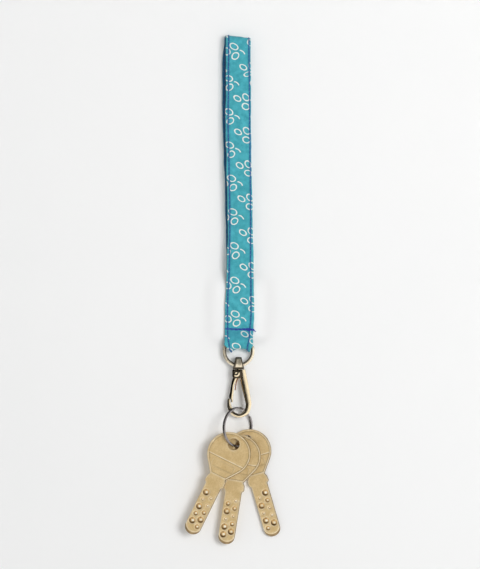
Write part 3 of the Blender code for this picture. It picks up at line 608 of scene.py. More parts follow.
def plated_material(name, base, dark, roughness, painted_shade=None, metallic=1.0):
    """Polished plating with faint smears and fine scratches, and painted shade and dark
    reflection where a piece's attribute asks for it.
    """
    nodes = Nodes(name)
    place = nodes.place()
    smear = nodes.noise(place, 260.0, 3.0, 0.6)
    scratch = nodes.noise(nodes.vector("MULTIPLY", place, (900.0, 900.0, 90.0)), 3.0, 2.0)
    tone = nodes.mix(nodes.ramp(smear, 0.35, 0.75, 0.0, 0.35), base, dark)
    # Painted shade and dark reflection: the colour mixes towards near black by the piece's
    # attribute.
    if painted_shade:
        tone = nodes.mix(nodes.attribute(painted_shade), tone, (0.035, 0.024, 0.015))
    rough = nodes.math("ADD", nodes.ramp(smear, 0.3, 0.8, roughness * 0.8, roughness * 1.5),
                       nodes.ramp(scratch, 0.55, 0.75, 0.0, 0.08))
    return nodes.finish(Base_Color=tone, Metallic=metallic, Roughness=rough,
                        Normal=nodes.bump(scratch, 0.00001, 0.25))


def key_material():
    """Satin tumbled brass: fine grain and stains, worn edges with painted highlights, painted
    glints and warm reflections in the dimples, and painted shade in recesses and on sides away
    from the light.
    """
    nodes = Nodes("key_brass")
    place = nodes.place()
    grain = nodes.noise(place, 2600.0, 3.0, 0.65)
    stain = nodes.noise(place, 190.0, 4.0, 0.6)
    sand = nodes.noise(place, 950.0, 2.0, 0.7)
    tone = nodes.mix(nodes.ramp(stain, 0.3, 0.72), (0.76, 0.555, 0.265), (0.90, 0.69, 0.37))
    tone = nodes.mix(nodes.ramp(sand, 0.30, 0.70, 0.0, 0.34), tone, (0.60, 0.40, 0.17))
    tone = nodes.mix(nodes.ramp(grain, 0.35, 0.75, 0.0, 0.30), tone, (0.50, 0.34, 0.15))
    # Painted warm reflection on the dimples' walls.
    painted_warm_reflection = nodes.math("MULTIPLY", nodes.attribute("painted_warm_reflection"), 0.8)
    tone = nodes.mix(painted_warm_reflection, tone, (0.88, 0.52, 0.18))
    # Wear with painted highlights: bright edges, lines beside each step and glints in the
    # dimples.
    tone = nodes.mix(nodes.attribute("worn"), tone, (1.0, 0.95, 0.78))
    # Painted shade in recesses, on the rim away from the light and down the dimples' lower left.
    tone = nodes.mix(nodes.attribute("painted_key_shade"), tone, (0.10, 0.048, 0.013))
    rough = nodes.ramp(grain, 0.2, 0.8, 0.32, 0.50)
    fine = nodes.bump(grain, 0.00003, 0.55, nodes.bump(sand, 0.00006, 0.35))
    metal = nodes.ramp(nodes.attribute("worn"), 0.0, 0.8, 0.35, 0.0)
    return nodes.finish(Base_Color=tone, Metallic=metal, Roughness=rough, Normal=fine,
                        Specular_IOR_Level=0.5)


# --- Strap ---------------------------------------------------------------------------------
def strap_line():
    """Centre line from the tail, down behind the join, round the bar, up the front, over the
    top and down the rear, as y, z; and how far along each point is."""
    bend = LOOP_HALF_GAP - LOOP_FLAT / 2
    corner_z = TOP_Z - bend
    runs = [np.array([(LOOP_HALF_GAP, TAIL_TOP_Z), (LOOP_HALF_GAP, BAR.z)]),
            arc((0.0, BAR.z), LOOP_HALF_GAP, 0, -180, 40),
            arc((-LOOP_FLAT / 2, corner_z), bend, 180, 90, 20),
            arc((LOOP_FLAT / 2, corner_z), bend, 90, 0, 20)]
    t = np.linspace(0, 1, 25)
    joined = np.stack([LOOP_HALF_GAP * (1 - smoothstep(t)),
                       JOIN_START_Z + (JOIN_END_Z - JOIN_START_Z) * t], axis=1)
    runs += [joined, np.array([(0.0, STRAP_END_Z)])]
    points = np.vstack(runs)
    points = points[np.diff(lengths_along(points), prepend=-1) > 1e-9]
    lengths = lengths_along(points)
    even = np.linspace(0, lengths[-1], int(lengths[-1] / (0.15 * MM)))
    y = np.interp(even, lengths, points[:, 0])
    z = np.interp(even, lengths, points[:, 1])
    return even, y, z


LINE_S, LINE_Y, LINE_Z = strap_line()
LINE_TY = np.gradient(LINE_Y, LINE_S)
LINE_TZ = np.gradient(LINE_Z, LINE_S)
TOP_S = LINE_S[np.argmax(LINE_Z)]
STRAP_LENGTH = LINE_S[-1]
FOLD_S = TAIL_TOP_Z - BAR.z + math.pi / 2 * LOOP_HALF_GAP  # lowest point of the lower fold


def height_at(s):
    return np.interp(s, LINE_S, LINE_Z)


def line_at(s):
    """Depth, height and direction of the strap's centre line."""
    return [np.interp(s, LINE_S, values) for values in (LINE_Y, LINE_Z, LINE_TY, LINE_TZ)]


def rear_share(s):
    """0 on the front layer, 1 on the rear one."""
    return smoothstep((np.interp(s, LINE_S, LINE_Y) / LOOP_HALF_GAP + 1) / 2)


def strap_shape(s):
    """Centre and half width of the strap along its length."""
    depth = -height_at(s)
    share = rear_share(s)
    centre, half = (stations(FRONT_SHAPE, depth, column) * (1 - share)
                    + stations(REAR_SHAPE, depth, column) * share for column in (1, 2))
    half = half + 0.13 * MM * wobble(s, 9 * MM, 3) + 0.06 * MM * wobble(s, 3 * MM, 4)
    centre = centre + 0.12 * MM * wobble(s, 14 * MM, 5)
    low = smoothstep((depth + BAR.z + 1.2 * MM) / (3.6 * MM))
    low = np.where(s < TOP_S, low, 0.0)
    return centre + FOLD_SHIFT * low, half * (1 - FOLD_NARROWING * low)


def stitch_across(s, side):
    """Place of a row of edge stitches from the strap's centre: side is -1 or 1."""
    centre, half = strap_shape(s)
    depth = -height_at(s)
    front = stations(FRONT_STITCHES, depth, 1 if side < 0 else 2) - centre
    rear = side * (half - REAR_STITCH_INSET)
    share = rear_share(s)
    across = front * (1 - share) + rear * share
    across = across + 0.10 * MM * wobble(s, 7 * MM, 11 + side)
    return np.clip(across, -half + 0.8 * MM, half - 0.8 * MM)


def fold_share(s):
    """1 at the lowest point of the fold round the bar, 0 away from it."""
    return 1 - smoothstep(np.abs(s - FOLD_S) / (5.2 * MM))


def strap_height(s, across, face):
    """Height of the strap's outer (face 1) or inner (face -1) surface off its centre line."""
    _, half = strap_shape(s)
    inset = np.clip((half - np.abs(across)) / EDGE_ROUND, 0.0, 1.0)
    edge = np.sqrt(np.clip(1 - (1 - inset) ** 2, 0, 1))
    crown = 0.90 + 0.14 * (1 - (across / half) ** 2)
    height = STRAP_HALF_THICKNESS * crown
    z = height_at(s)
    outside = rear_share(s) < 0.5
    for side in (-1, 1):
        away = across - stitch_across(s, side)
        height = height - 0.26 * MM * bell(away, 0.42 * MM)
        pucker = np.cos(2 * math.pi * s / STITCH_PITCH)
        height = height + 0.05 * MM * pucker * bell(away, 1.5 * MM)
    if face > 0:
        height = height - 0.34 * MM * bell(z - CROSS_Z, 0.75 * MM) * outside
        height = height + 0.12 * MM * bell(z - CROSS_Z - 3.2 * MM, 2.0 * MM) * outside
    tuck = FOLD_TUCK * (1 - (across / half) ** 2) * fold_share(s)
    height = height - tuck if face > 0 else height + np.maximum(tuck - 1.8 * MM, 0)
    height = height + 0.10 * MM * dapple(across, s, 6 * MM, 21 + face)
    height = height + 0.05 * MM * dapple(across + 0.4 * s, s, 2.3 * MM, 23 + face)
    return face * height * edge


def strap_place(s, across, height):
    """Points of the strap from its length, width and height off the centre line."""
    y, z, ty, tz = line_at(s)
    centre, _ = strap_shape(s)
    x = centre + across
    y, z = y - tz * height, z + ty * height - FOLD_DROP * fold_share(s)
    drop = TOP_SLANT * (x + 7.5 * MM) / (15 * MM)
    z = z - drop * smoothstep((z + TOP_SLANT_REACH) / TOP_SLANT_REACH)
    return np.stack(np.broadcast_arrays(x, y, z), axis=-1)


def make_cover(material):
    """The cotton, as one closed skin with rounded edges and closed ends."""
    turn = np.linspace(0, 2 * math.pi, STRAP_AROUND + 1)
    ends = np.array([0.0, 0.08, 0.25, 0.5, 0.85]) * MM
    middle = np.linspace(1.2 * MM, STRAP_LENGTH - 1.2 * MM, int(STRAP_LENGTH / STRAP_STEP))
    along = np.concatenate([ends, middle, (STRAP_LENGTH - ends)[::-1]])
    closing = np.clip(np.minimum(along, STRAP_LENGTH - along) / (0.9 * MM), 0, 1)
    closing = 0.12 + 0.88 * np.sqrt(1 - (1 - closing) ** 2)
    rings, uvs, painted_cloth_shades = [], [], []
    for s, shut in zip(along, closing):
        s_all = np.full(STRAP_AROUND + 1, s)
        centre, half = strap_shape(s_all)
        across = -half * np.cos(turn)
        outer = turn <= math.pi
        height = np.where(outer, *(strap_height(s_all, across, face) for face in (1, -1)))
        rings.append(strap_place(s_all, across, height * shut)[:-1])
        drift, sag = print_drift(s)
        unrolled = np.where(outer, across, 2 * half - across)
        uvs.append(np.stack([unrolled + centre - drift, TOP_S - s_all - sag], axis=1))
        painted_cloth_shades.append(painted_cloth_shade_at(s_all, across, outer)[:-1])
    cover = loft_mesh("printed_strap", rings, material, uv=uvs)
    # The cloth's painted shade, kept for its material.
    set_attribute(cover, "painted_cloth_shade", np.concatenate([*painted_cloth_shades, [0.0, 0.0]]))
    return cover


def print_drift(s):
    """Shift of the print across and down: measured on the front, held on the rear."""
    depth = -height_at(s) if s < TOP_S else 0.0
    return [stations(PRINT_DRIFT, np.array([depth]), column)[0] for column in (1, 2)]


def painted_cloth_shade_at(s, across, outer):
    """Painted shade on the cloth: beside its stitches, in the hollow below the cross stitches,
    and on the rear layer's inside near its left edge.
    """
    value = np.zeros_like(across)
    for side in (-1, 1):
        value = np.maximum(value, bell(across - stitch_across(s, side), 0.62 * MM))
    z = height_at(s)
    value = np.maximum(value, 0.8 * bell(z - CROSS_Z, 0.5 * MM) * outer)
    below = (CROSS_Z - z) / MM
    hollow = smoothstep(below / 1.2) * (1 - smoothstep((below - 4.5) / 3.5))
    value = np.maximum(value, 0.45 * hollow * outer * (rear_share(s) < 0.5))
    inside_rear = (rear_share(s) > 0.5) * (1 - outer)
    return np.maximum(value, 1.7 * inside_rear * smoothstep((-across - 4 * MM) / (2.5 * MM)))


def make_core(material):
    """The stiff band inside the cotton."""
    turn = full_turn(CORE_AROUND)
    rings = []
    for s in np.arange(CORE_END, STRAP_LENGTH - CORE_END, 1.0 * MM):
        s_all = np.full(CORE_AROUND, s)
        _, half = strap_shape(s_all)
        across = -np.cos(turn) * (half - CORE_INSET)
        face = np.where(turn <= math.pi, 1, -1)
        outer, inner = strap_height(s_all, across, 1), strap_height(s_all, across, -1)
        height = (outer + inner) / 2 + CORE_SHARE * face * (outer - inner) / 2
        rings.append(strap_place(s_all, across, height))
    return loft_mesh("stiffening_core", rings, material)


# --- Stitching -----------------------------------------------------------------------------
def humps(power):
    """0 at a stitch's ends and 1 in its middle."""
    return np.sin(math.pi * ALONG_STITCH) ** power


def make_edge_stitches(name, side, face, start, end, material):
    """One row of lockstitches: face 1 on the strap's outside, -1 inside the loop."""
    bm = bmesh.new()
    rise = STITCH_RADIUS * (1.15 * humps(0.5) - 0.55)
    radii = STITCH_RADIUS * (0.72 + 0.28 * humps(0.6))
    slant = (2 * ALONG_STITCH - 1) * 0.07 * MM
    for index in range(int((end - start) / STITCH_PITCH)):
        s = start + (index + 0.5) * STITCH_PITCH + (ALONG_STITCH - 0.5) * STITCH_LENGTH
        across = stitch_across(s, side)
        height = strap_height(s, across, face) + face * rise
        add_tube(bm, strap_place(s, across + slant, height), radii, STITCH_SIDES)
    return finish_mesh(name, bm, material)


def make_cross_stitches(name, face_y, with_tail, material):
    """Two rows of stitches sewn there and back through the join."""
    bm = bmesh.new()
    pitch = 2 * CROSS_HALF / CROSS_COUNT
    rise = 0.34 * MM * (1.15 * humps(0.5) - 0.5)
    for row, late in ((0, 0.0), (1, 0.225)):
        for index in range(CROSS_COUNT):
            middle = -CROSS_HALF + (index + 0.5 + late) * pitch
            x = middle + (ALONG_STITCH - 0.5) * pitch * 0.96
            x = np.clip(x, -CROSS_HALF, CROSS_HALF + 0.3 * MM)
            z = CROSS_Z + (0.5 - row) * CROSS_ROWS_APART - CROSS_RISE * x / (2 * CROSS_HALF)
            z = z + 0.16 * MM * math.sin(1.7 * index + 2.1 * row)
            y = cross_surface(x + CROSS_SHIFT, z, face_y) + face_y * rise
            radii = CROSS_RADIUS * (0.7 + 0.3 * humps(0.6))
            radii = radii * (1 + 0.25 * x / CROSS_HALF + 0.5 * bell(x - 5.4 * MM, 1.1 * MM))
            add_tube(bm, np.stack([x + CROSS_SHIFT, y, z], axis=1), radii, STITCH_SIDES)
    if with_tail:
        add_loose_end(bm, face_y)
    return finish_mesh(name, bm, material)


def cross_surface(x, z, face_y):
    """The strap's surface under the cross stitches, on the front (-1) or the rear (1)."""
    front = (LINE_S > FOLD_S) & (LINE_S < TOP_S)
    s = np.interp(z, LINE_Z[front], LINE_S[front]) if face_y < 0 else TAIL_TOP_Z - z
    centre, half = strap_shape(s)
    across = np.clip(x - centre, -half, half)
    return strap_place(s, across, strap_height(s, across, 1))[..., 1]


def add_loose_end(bm, face_y):
    """The sewing thread's knot, and its cut end curling off the right edge."""
    tail = spline_through(LOOSE_END, 8)
    knot = [(7.3 + 0.25 * math.cos(a), 0.05 + 0.12 * math.sin(2 * a), 0.25 + 0.3 * math.sin(a))
            for a in 0.8 * np.arange(12)]
    for points, radius in ((tail, 0.22 * MM), (np.array(knot), 0.2 * MM)):
        x, out, up = points.T * MM
        y = face_y * (LOOP_HALF_GAP + STRAP_HALF_THICKNESS + out)
        add_tube(bm, np.stack([x, y, CROSS_Z + up], axis=1), radius, STITCH_SIDES)


# --- Hardware ------------------------------------------------------------------------------
def rounded_ring(half_width, half_depth, power, around):
    """A superellipse, as across and depth."""
    turn = full_turn(around)
    c, s = np.cos(turn), np.sin(turn)
    return np.stack([half_width * np.sign(c) * np.abs(c) ** (2 / power),
                     half_depth * np.sign(s) * np.abs(s) ** (2 / power)], axis=1)


def limb_rings(table, origin, steps, power, around=36, round_ends=(False, True)):
    """Rings of a bar that bends in the XZ plane, from a table of stations."""
    line = spline_through(table, steps) * MM
    along = unit(np.gradient(line[:, :2], axis=0))
    rings = []
    for (x, z, half_width, half_depth), (dx, dz) in zip(line, along):
        ring = rounded_ring(half_width, half_depth, power, around)
        rings.append([(origin.x + x + dz * a, origin.y + b, origin.z + z - dx * a)
                      for a, b in ring])
    rings = np.array(rings)
    for at_end, index in zip(round_ends, (0, -1)):
        if at_end:
            rings = rounded_off(rings, index, line[index, 2] * 0.6, along[index])
    return rings


def rounded_off(rings, index, reach, along):
    """Adds a domed end to a stack of rings."""
    last = rings[index]
    middle = last.mean(axis=0)
    sign = -1 if index == 0 else 1
    forward = sign * np.array([along[0], 0.0, along[1]])
    added = []
    for angle in (25, 50, 70, 84):
        a = math.radians(angle)
        added.append(middle + (last - middle) * math.cos(a) + forward * reach * math.sin(a))
    added = np.array(added)
    return np.vstack([added[::-1], rings]) if index == 0 else np.vstack([rings, added])


def make_d_ring(material):
    inset = D_ARC_RADIUS - D_CORNER
    side = D_ARC - D_ARC_RADIUS
    points = np.vstack([
        np.stack([np.linspace(-inset, inset, 24)[1:-1], np.zeros(22)], axis=1),
        arc((inset, -D_CORNER), D_CORNER, 90, 0, 10),
        arc((0.0, -side), D_ARC_RADIUS, 0, -180, 96),
        arc((-inset, -D_CORNER), D_CORNER, 180, 90, 10)])
    place = np.stack([BAR.x + points[:, 0], np.full(len(points), BAR.y),
                      BAR.z + points[:, 1]], axis=1)
    item = tube_mesh("d_ring_wire", place, D_WIRE, 28, material, wrap=True, uv=False)
    x, _, up = places_from(item, (BAR.x, BAR.y, BAR.z - side))
    # Painted shade and dark reflection on the wire's inner side, stronger towards its top.
    inward = (D_ARC_RADIUS / MM - np.hypot(x, np.minimum(up, 0))) * MM / D_WIRE
    high = smoothstep((up + 3.5) / 5)
    set_attribute(item, "painted_shade", smoothstep(inward * 1.6 + 0.05 + 0.25 * high) * 0.88)
    return item


def make_eye(material):
    """A loop round the D-ring, flat underneath and wider at its base."""
    centre = RING_LOW + Vector((0, 0, EYE_LIFT))
    middle = sum(EYE_RADII) / 2
    thick = (EYE_RADII[1] - EYE_RADII[0]) / 2
    base = SWIVEL.z + EYE_BASE
    rings = []
    for angle in np.radians(np.linspace(0, 360, 72, endpoint=False)):
        up = (math.sin(angle) + 1) / 2
        half_width = (EYE_WIDTHS[1] + (EYE_WIDTHS[0] - EYE_WIDTHS[1]) * up) / 2
        ring = rounded_ring(half_width, thick, 4.0, 40) * MM
        radii = middle * MM + ring[:, 1]
        z = np.maximum(centre.z + radii * math.sin(angle), base)
        rings.append(np.stack([centre.x + ring[:, 0], centre.y + radii * math.cos(angle), z],
                              axis=1))
    item = loft_mesh("swivel_eye_loop", rings, material, wrap=True)
    x, _, up = places_from(item, (0, 0, centre.z))
    # Painted shade and dark reflection: down its sides, in a patch at its middle, along its crest
    # and in a band at its foot.
    sides = smoothstep((np.abs(x) - 1.15 + 0.2 * up - 0.5 * (x > 0)) / 0.5)
    blob = 0.55 * bell(x - 0.7, 1.1) * smoothstep((up + 1.9) / 1.2)
    crest = 0.9 * smoothstep((up - 2.5) / 0.5)
    foot = 0.9 * smoothstep((-1.9 - up) / 0.4) * (x < 2.7)
    painted_dark_parts = np.maximum.reduce([0.9 * sides, blob, crest, foot])
    set_attribute(item, "painted_shade", np.clip(painted_dark_parts, 0, 0.9))
    return item


def plate_mesh(name, outline, half_depth, material, width, origin):
    """A plate in the XZ plane with rounded edges, from an outline in metres."""
    bm = bmesh.new()
    verts = [bm.verts.new((origin.x + x, origin.y - half_depth, origin.z + z))
             for x, z in outline]
    face = bm.faces.new(verts)
    made = bmesh.ops.extrude_face_region(bm, geom=[face])
    moved = [v for v in made["geom"] if isinstance(v, bmesh.types.BMVert)]
    bmesh.ops.translate(bm, verts=moved, vec=(0, 2 * half_depth, 0))
    rims = [edge for edge in bm.edges
            if abs(edge.verts[0].co.y - edge.verts[1].co.y) < 1e-7]
    if width:
        bmesh.ops.bevel(bm, geom=rims, offset=width, segments=4, affect="EDGES", profile=0.5)
    return finish_mesh(name, bm, material, SHARP)


def cut(item, tool, operation="DIFFERENCE"):
    """Applies a Boolean and removes the tool."""
    modifier = item.modifiers.new("cut", "BOOLEAN")
    modifier.operation = operation
    modifier.solver = "EXACT"
    modifier.object = tool
    bpy.context.view_layer.update()
    evaluated = item.evaluated_get(bpy.context.evaluated_depsgraph_get())
    mesh = bpy.data.meshes.new_from_object(evaluated)
    item.modifiers.clear()
    item.data = mesh
    bpy.data.objects.remove(tool)


def rounded_box_outline(low, high, radii):
    """Corners in order: lower left, lower right, upper right, upper left."""
    corners = ((low[0], low[1], 180), (high[0], low[1], 270), (high[0], high[1], 0),
               (low[0], high[1], 90))
    inward = ((1, 1), (-1, 1), (-1, -1), (1, -1))
    points = []
    for (x, z, start), (sx, sz), radius in zip(corners, inward, radii):
        points.append(arc((x + sx * radius, z + sz * radius), radius, start, start + 90, 8))
    return np.vstack(points) * MM


def make_hook(material):
    """Cast body: long limb, slotted block with rounded cheeks, and the swivel's stem."""
    hook = loft_mesh("hook_casting", limb_rings(LIMB, SWIVEL, 10, 2.3), material, SHARP)
    (left, low), (right, high) = CHEEK
    outline = rounded_box_outline((left, low), (right, high), CHEEK_ROUNDS)
    block = plate_mesh("block", outline, CHEEK_HALF_DEPTH, material, CHEEK_BEVEL, SWIVEL)
    slot_outline = rounded_box_outline((left - 1, low - 1), SLOT_CORNER, (0.1, 0.1, 0.1, 0.1))
    for item in (block, hook):
        cut(item, plate_mesh("slot", slot_outline, SLOT_HALF_DEPTH, material, 0, SWIVEL))
    stem = [(SWIVEL.x, SWIVEL.y, SWIVEL.z + z * MM) for z, _ in STEM]
    radii = np.array([radius for _, radius in STEM]) * MM
    cut(hook, block, "UNION")
    cut(hook, tube_mesh("stem", stem, radii, 24, material, uv=False), "UNION")
    x, back, up = places_from(hook, (SWIVEL.x, 0, SWIVEL.z))
    # Painted shade and dark reflection over the front of the block and of the limb's inner half.
    front = smoothstep((-back - 1.3) / 0.5) * smoothstep((2.45 - x) / 0.4)
    set_attribute(hook, "painted_shade", 0.92 * front * (up > low - 0.1))
    return dress(hook, material, SHARP_CUT)


def make_gate(material):
    """The sprung lever, a bent channel with painted shade and dark reflection along its left."""
    rings = limb_rings(GATE, PIVOT, 8, 2.3, round_ends=(True, True))
    gate = loft_mesh("gate_lever", rings, material, SHARP)
    channel = np.array(CHANNEL) * MM
    cut(gate, plate_mesh("channel", channel, CHANNEL_HALF_DEPTH, material, 0, PIVOT))
    x, _, up = places_from(gate, PIVOT)
    line = spline_through(GATE, 8)
    middle, half = (np.interp(-up, -line[:, 1], line[:, column]) for column in (0, 2))
    # Painted shade and dark reflection down its left side.
    set_attribute(gate, "painted_shade", 0.8 * smoothstep((middle - x) / half * 1.6 + 0.3))
    return dress(gate, material, SHARP_CUT)


def make_rivet(material):
    """The gate's pivot pin with a domed head at each end."""
    under = CHEEK_HALF_DEPTH + 0.05 * MM
    radii = np.linspace(0.05, 1.0, 16) * RIVET_HEAD
    dome = RIVET_RISE * np.sqrt(1 - (radii / RIVET_HEAD) ** 2)
    rise = dome - RIVET_DIMPLE * bell(radii, 0.62 * MM)
    half = [*zip(radii, under + rise), (RIVET_HEAD * 0.97, under), (RIVET_PIN, under)]
    profile = half + [(r, -y) for r, y in reversed(half)]
    turn = full_turn(36)
    rings = [[(PIVOT.x + r * math.cos(a), PIVOT.y + y, PIVOT.z + r * math.sin(a)) for a in turn]
             for r, y in profile]
    item = loft_mesh("gate_rivet_pin", rings, material, 50)
    x, _, up = places_from(item, PIVOT)
    # Painted shade round the rim of each head.
    away = np.hypot(x, up) * MM / RIVET_HEAD
    set_attribute(item, "painted_shade", 0.7 * smoothstep((away - 0.8) / 0.25))
    return item


def make_spring(material):
    """Torsion spring: its coil in the slot, one leg down the gate and one to the limb."""
    rise = SPRING_PITCH * SPRING_TURNS
    t = np.linspace(0, 1, int(SPRING_TURNS * 40))
    turn = np.radians(-90 - 360 * SPRING_TURNS * t)
    coil = np.stack([SPRING_RADIUS * np.cos(turn), rise * (0.5 - t),
                     SPRING_RADIUS * np.sin(turn)], axis=1)
    first = np.array([(across * MM, rise / 2, -SPRING_RADIUS) for across in (1.5, 0.8)])
    leg = spline_through(SPRING_LEG, 8) * MM
    leg = np.stack([leg[:, 0], np.full(len(leg), -rise / 2), leg[:, 1]], axis=1)
    points = np.vstack([first, coil, leg]) + np.array(PIVOT)
    return tube_mesh("gate_spring_wire", points, SPRING_WIRE, 12, material)


def make_split_ring(material):
    """Two close coils of flattened wire, stepping over beside their ends."""
    layer = 2 * RING_WIRE[1] * MM + 0.06 * MM
    turned = np.linspace(12, 708, 360)
    t = (turned - 360 + 12) / 24
    height = layer * (smoothstep(t) - 0.5)
    angle = np.radians(turned + RING_JOG)
    profile = rounded_ring(*RING_WIRE, 3.2, 20) * MM
    rings = [[((RING_RADIUS + w) * math.cos(a), (RING_RADIUS + w) * math.sin(a), h + up)
              for w, up in profile] for a, h in zip(angle, height)]
    rings = np.array(rings)
    for index in (0, -1):
        middle = rings[index].mean(axis=0)
        rings[index] = middle + (rings[index] - middle) * 0.75
    bm = bmesh.new()
    add_loft(bm, rings)
    turn = (Matrix.Translation(RING_CENTRE)
            @ Matrix.Rotation(math.radians(RING_TURN[0]), 4, "Z")
            @ Matrix.Rotation(math.radians(RING_TURN[1]), 4, "Y")
            @ Matrix.Rotation(math.radians(90), 4, "X"))
    bmesh.ops.transform(bm, matrix=turn, verts=bm.verts)
    return finish_mesh("split_ring_coils", bm, material, 60)


# --- Keys ----------------------------------------------------------------------------------
def fillet(points, radius, steps):
    """Rounds the inner corners of an open line."""
    points = np.array(points, float)
    rounded = [points[0]]
    for before, corner, after in zip(points, points[1:], points[2:]):
        start, end = (corner + unit(other - corner)
                      * min(radius, np.linalg.norm(other - corner) * 0.45)
                      for other in (before, after))
        for t in np.linspace(0, 1, steps + 1):
            rounded.append(start * (1 - t) ** 2 + corner * 2 * t * (1 - t) + end * t ** 2)
    rounded.append(points[-1])
    return np.array(rounded)


def mirrored_loop(right):
    """A closed loop from its right half, which runs from top to bottom."""
    left = right[::-1].copy()
    left[:, 0] *= -1
    return np.vstack([right, left[1:-1]])


def key_outline():
    """Round bow, tapered neck with shoulders, and round-ended blade."""
    bow = arc((0.0, 0.0), BOW_RADIUS, 90, -BOW_TAPER, 56)
    tip_centre = TIP + BLADE_HALF
    blade = np.stack([np.full(28, BLADE_HALF), np.linspace(NECK[-1][1] - 1, tip_centre, 28)],
                     axis=1)
    neck = fillet([bow[-1], *NECK, blade[0]], NECK_ROUND, 4)
    tip = arc((0.0, tip_centre), BLADE_HALF, 0, -90, 24)
    right = np.vstack([bow[:-1], neck[:-1], blade, tip[1:]])
    right[0, 0] = right[-1, 0] = 0.0
    return mirrored_loop(right)


def panel_outline(inset):
    """The bow's outline set in, closed by a straight line at the panel's foot."""
    radius = BOW_RADIUS - inset
    bow = arc((0.0, 0.0), radius, 90, -BOW_TAPER, 48)
    foot = PANEL_LOW + inset - RIM_WIDTH
    taper = math.radians(BOW_TAPER)
    run = (foot - bow[-1][1]) / -math.cos(taper)
    corner = bow[-1] + run * np.array([-math.sin(taper), -math.cos(taper)])
    right = np.vstack([bow, [corner], [(0.0, foot)]])
    right[0, 0] = 0.0
    return mirrored_loop(right)


def inset_loop(loop, inset):
    """A loop moved inward, for small insets."""
    before, after = np.roll(loop, 1, axis=0), np.roll(loop, -1, axis=0)
    normals = []
    for a, b in ((before, loop), (loop, after)):
        along = unit(b - a)
        normals.append(np.stack([along[:, 1], -along[:, 0]], axis=1))
    middle = unit(normals[0] + normals[1])
    stretch = 1 / np.maximum((middle * normals[0]).sum(axis=1), 0.5)
    return loop + middle * (inset * stretch)[:, None]


def signed_distance(points, loop):
    """Distance from points to a closed loop, positive inside."""
    a, b = loop, np.roll(loop, -1, axis=0)
    along = b - a
    to = points[:, None, :] - a[None, :, :]
    t = np.clip((to * along).sum(axis=2) / (along ** 2).sum(axis=1), 0, 1)
    away = np.linalg.norm(to - t[..., None] * along, axis=2).min(axis=1)
    above = (a[:, 1] > points[:, None, 1]) != (b[:, 1] > points[:, None, 1])
    rise = np.where(np.abs(along[:, 1]) < 1e-12, 1e-12, along[:, 1])
    crossing = a[:, 0] + (points[:, None, 1] - a[:, 1]) * along[:, 0] / rise
    inside = (above & (points[:, None, 0] < crossing)).sum(axis=1) % 2 == 1
    return np.where(inside, away, -away)


OUTLINE = key_outline()
PANEL = panel_outline(RIM_WIDTH)


def dimple_places(early_side, early, late, face):
    """Centre, mouth and depth of each dimple of one face; the back has its rows swapped."""
    rows = ((early_side * -face, ROW_STARTS[0], early), (early_side * face, ROW_STARTS[1], late))
    return [(side * ROW_X, start - index * DIMPLE_PITCH, *DIMPLES[size])
            for side, start, sizes in rows for index, size in enumerate(sizes)]


def edge_round(away, radius):
    """Depth of a rounded edge at a distance in from it."""
    inset = np.clip(radius - away, 0, radius)
    return radius - np.sqrt(radius ** 2 - inset ** 2)


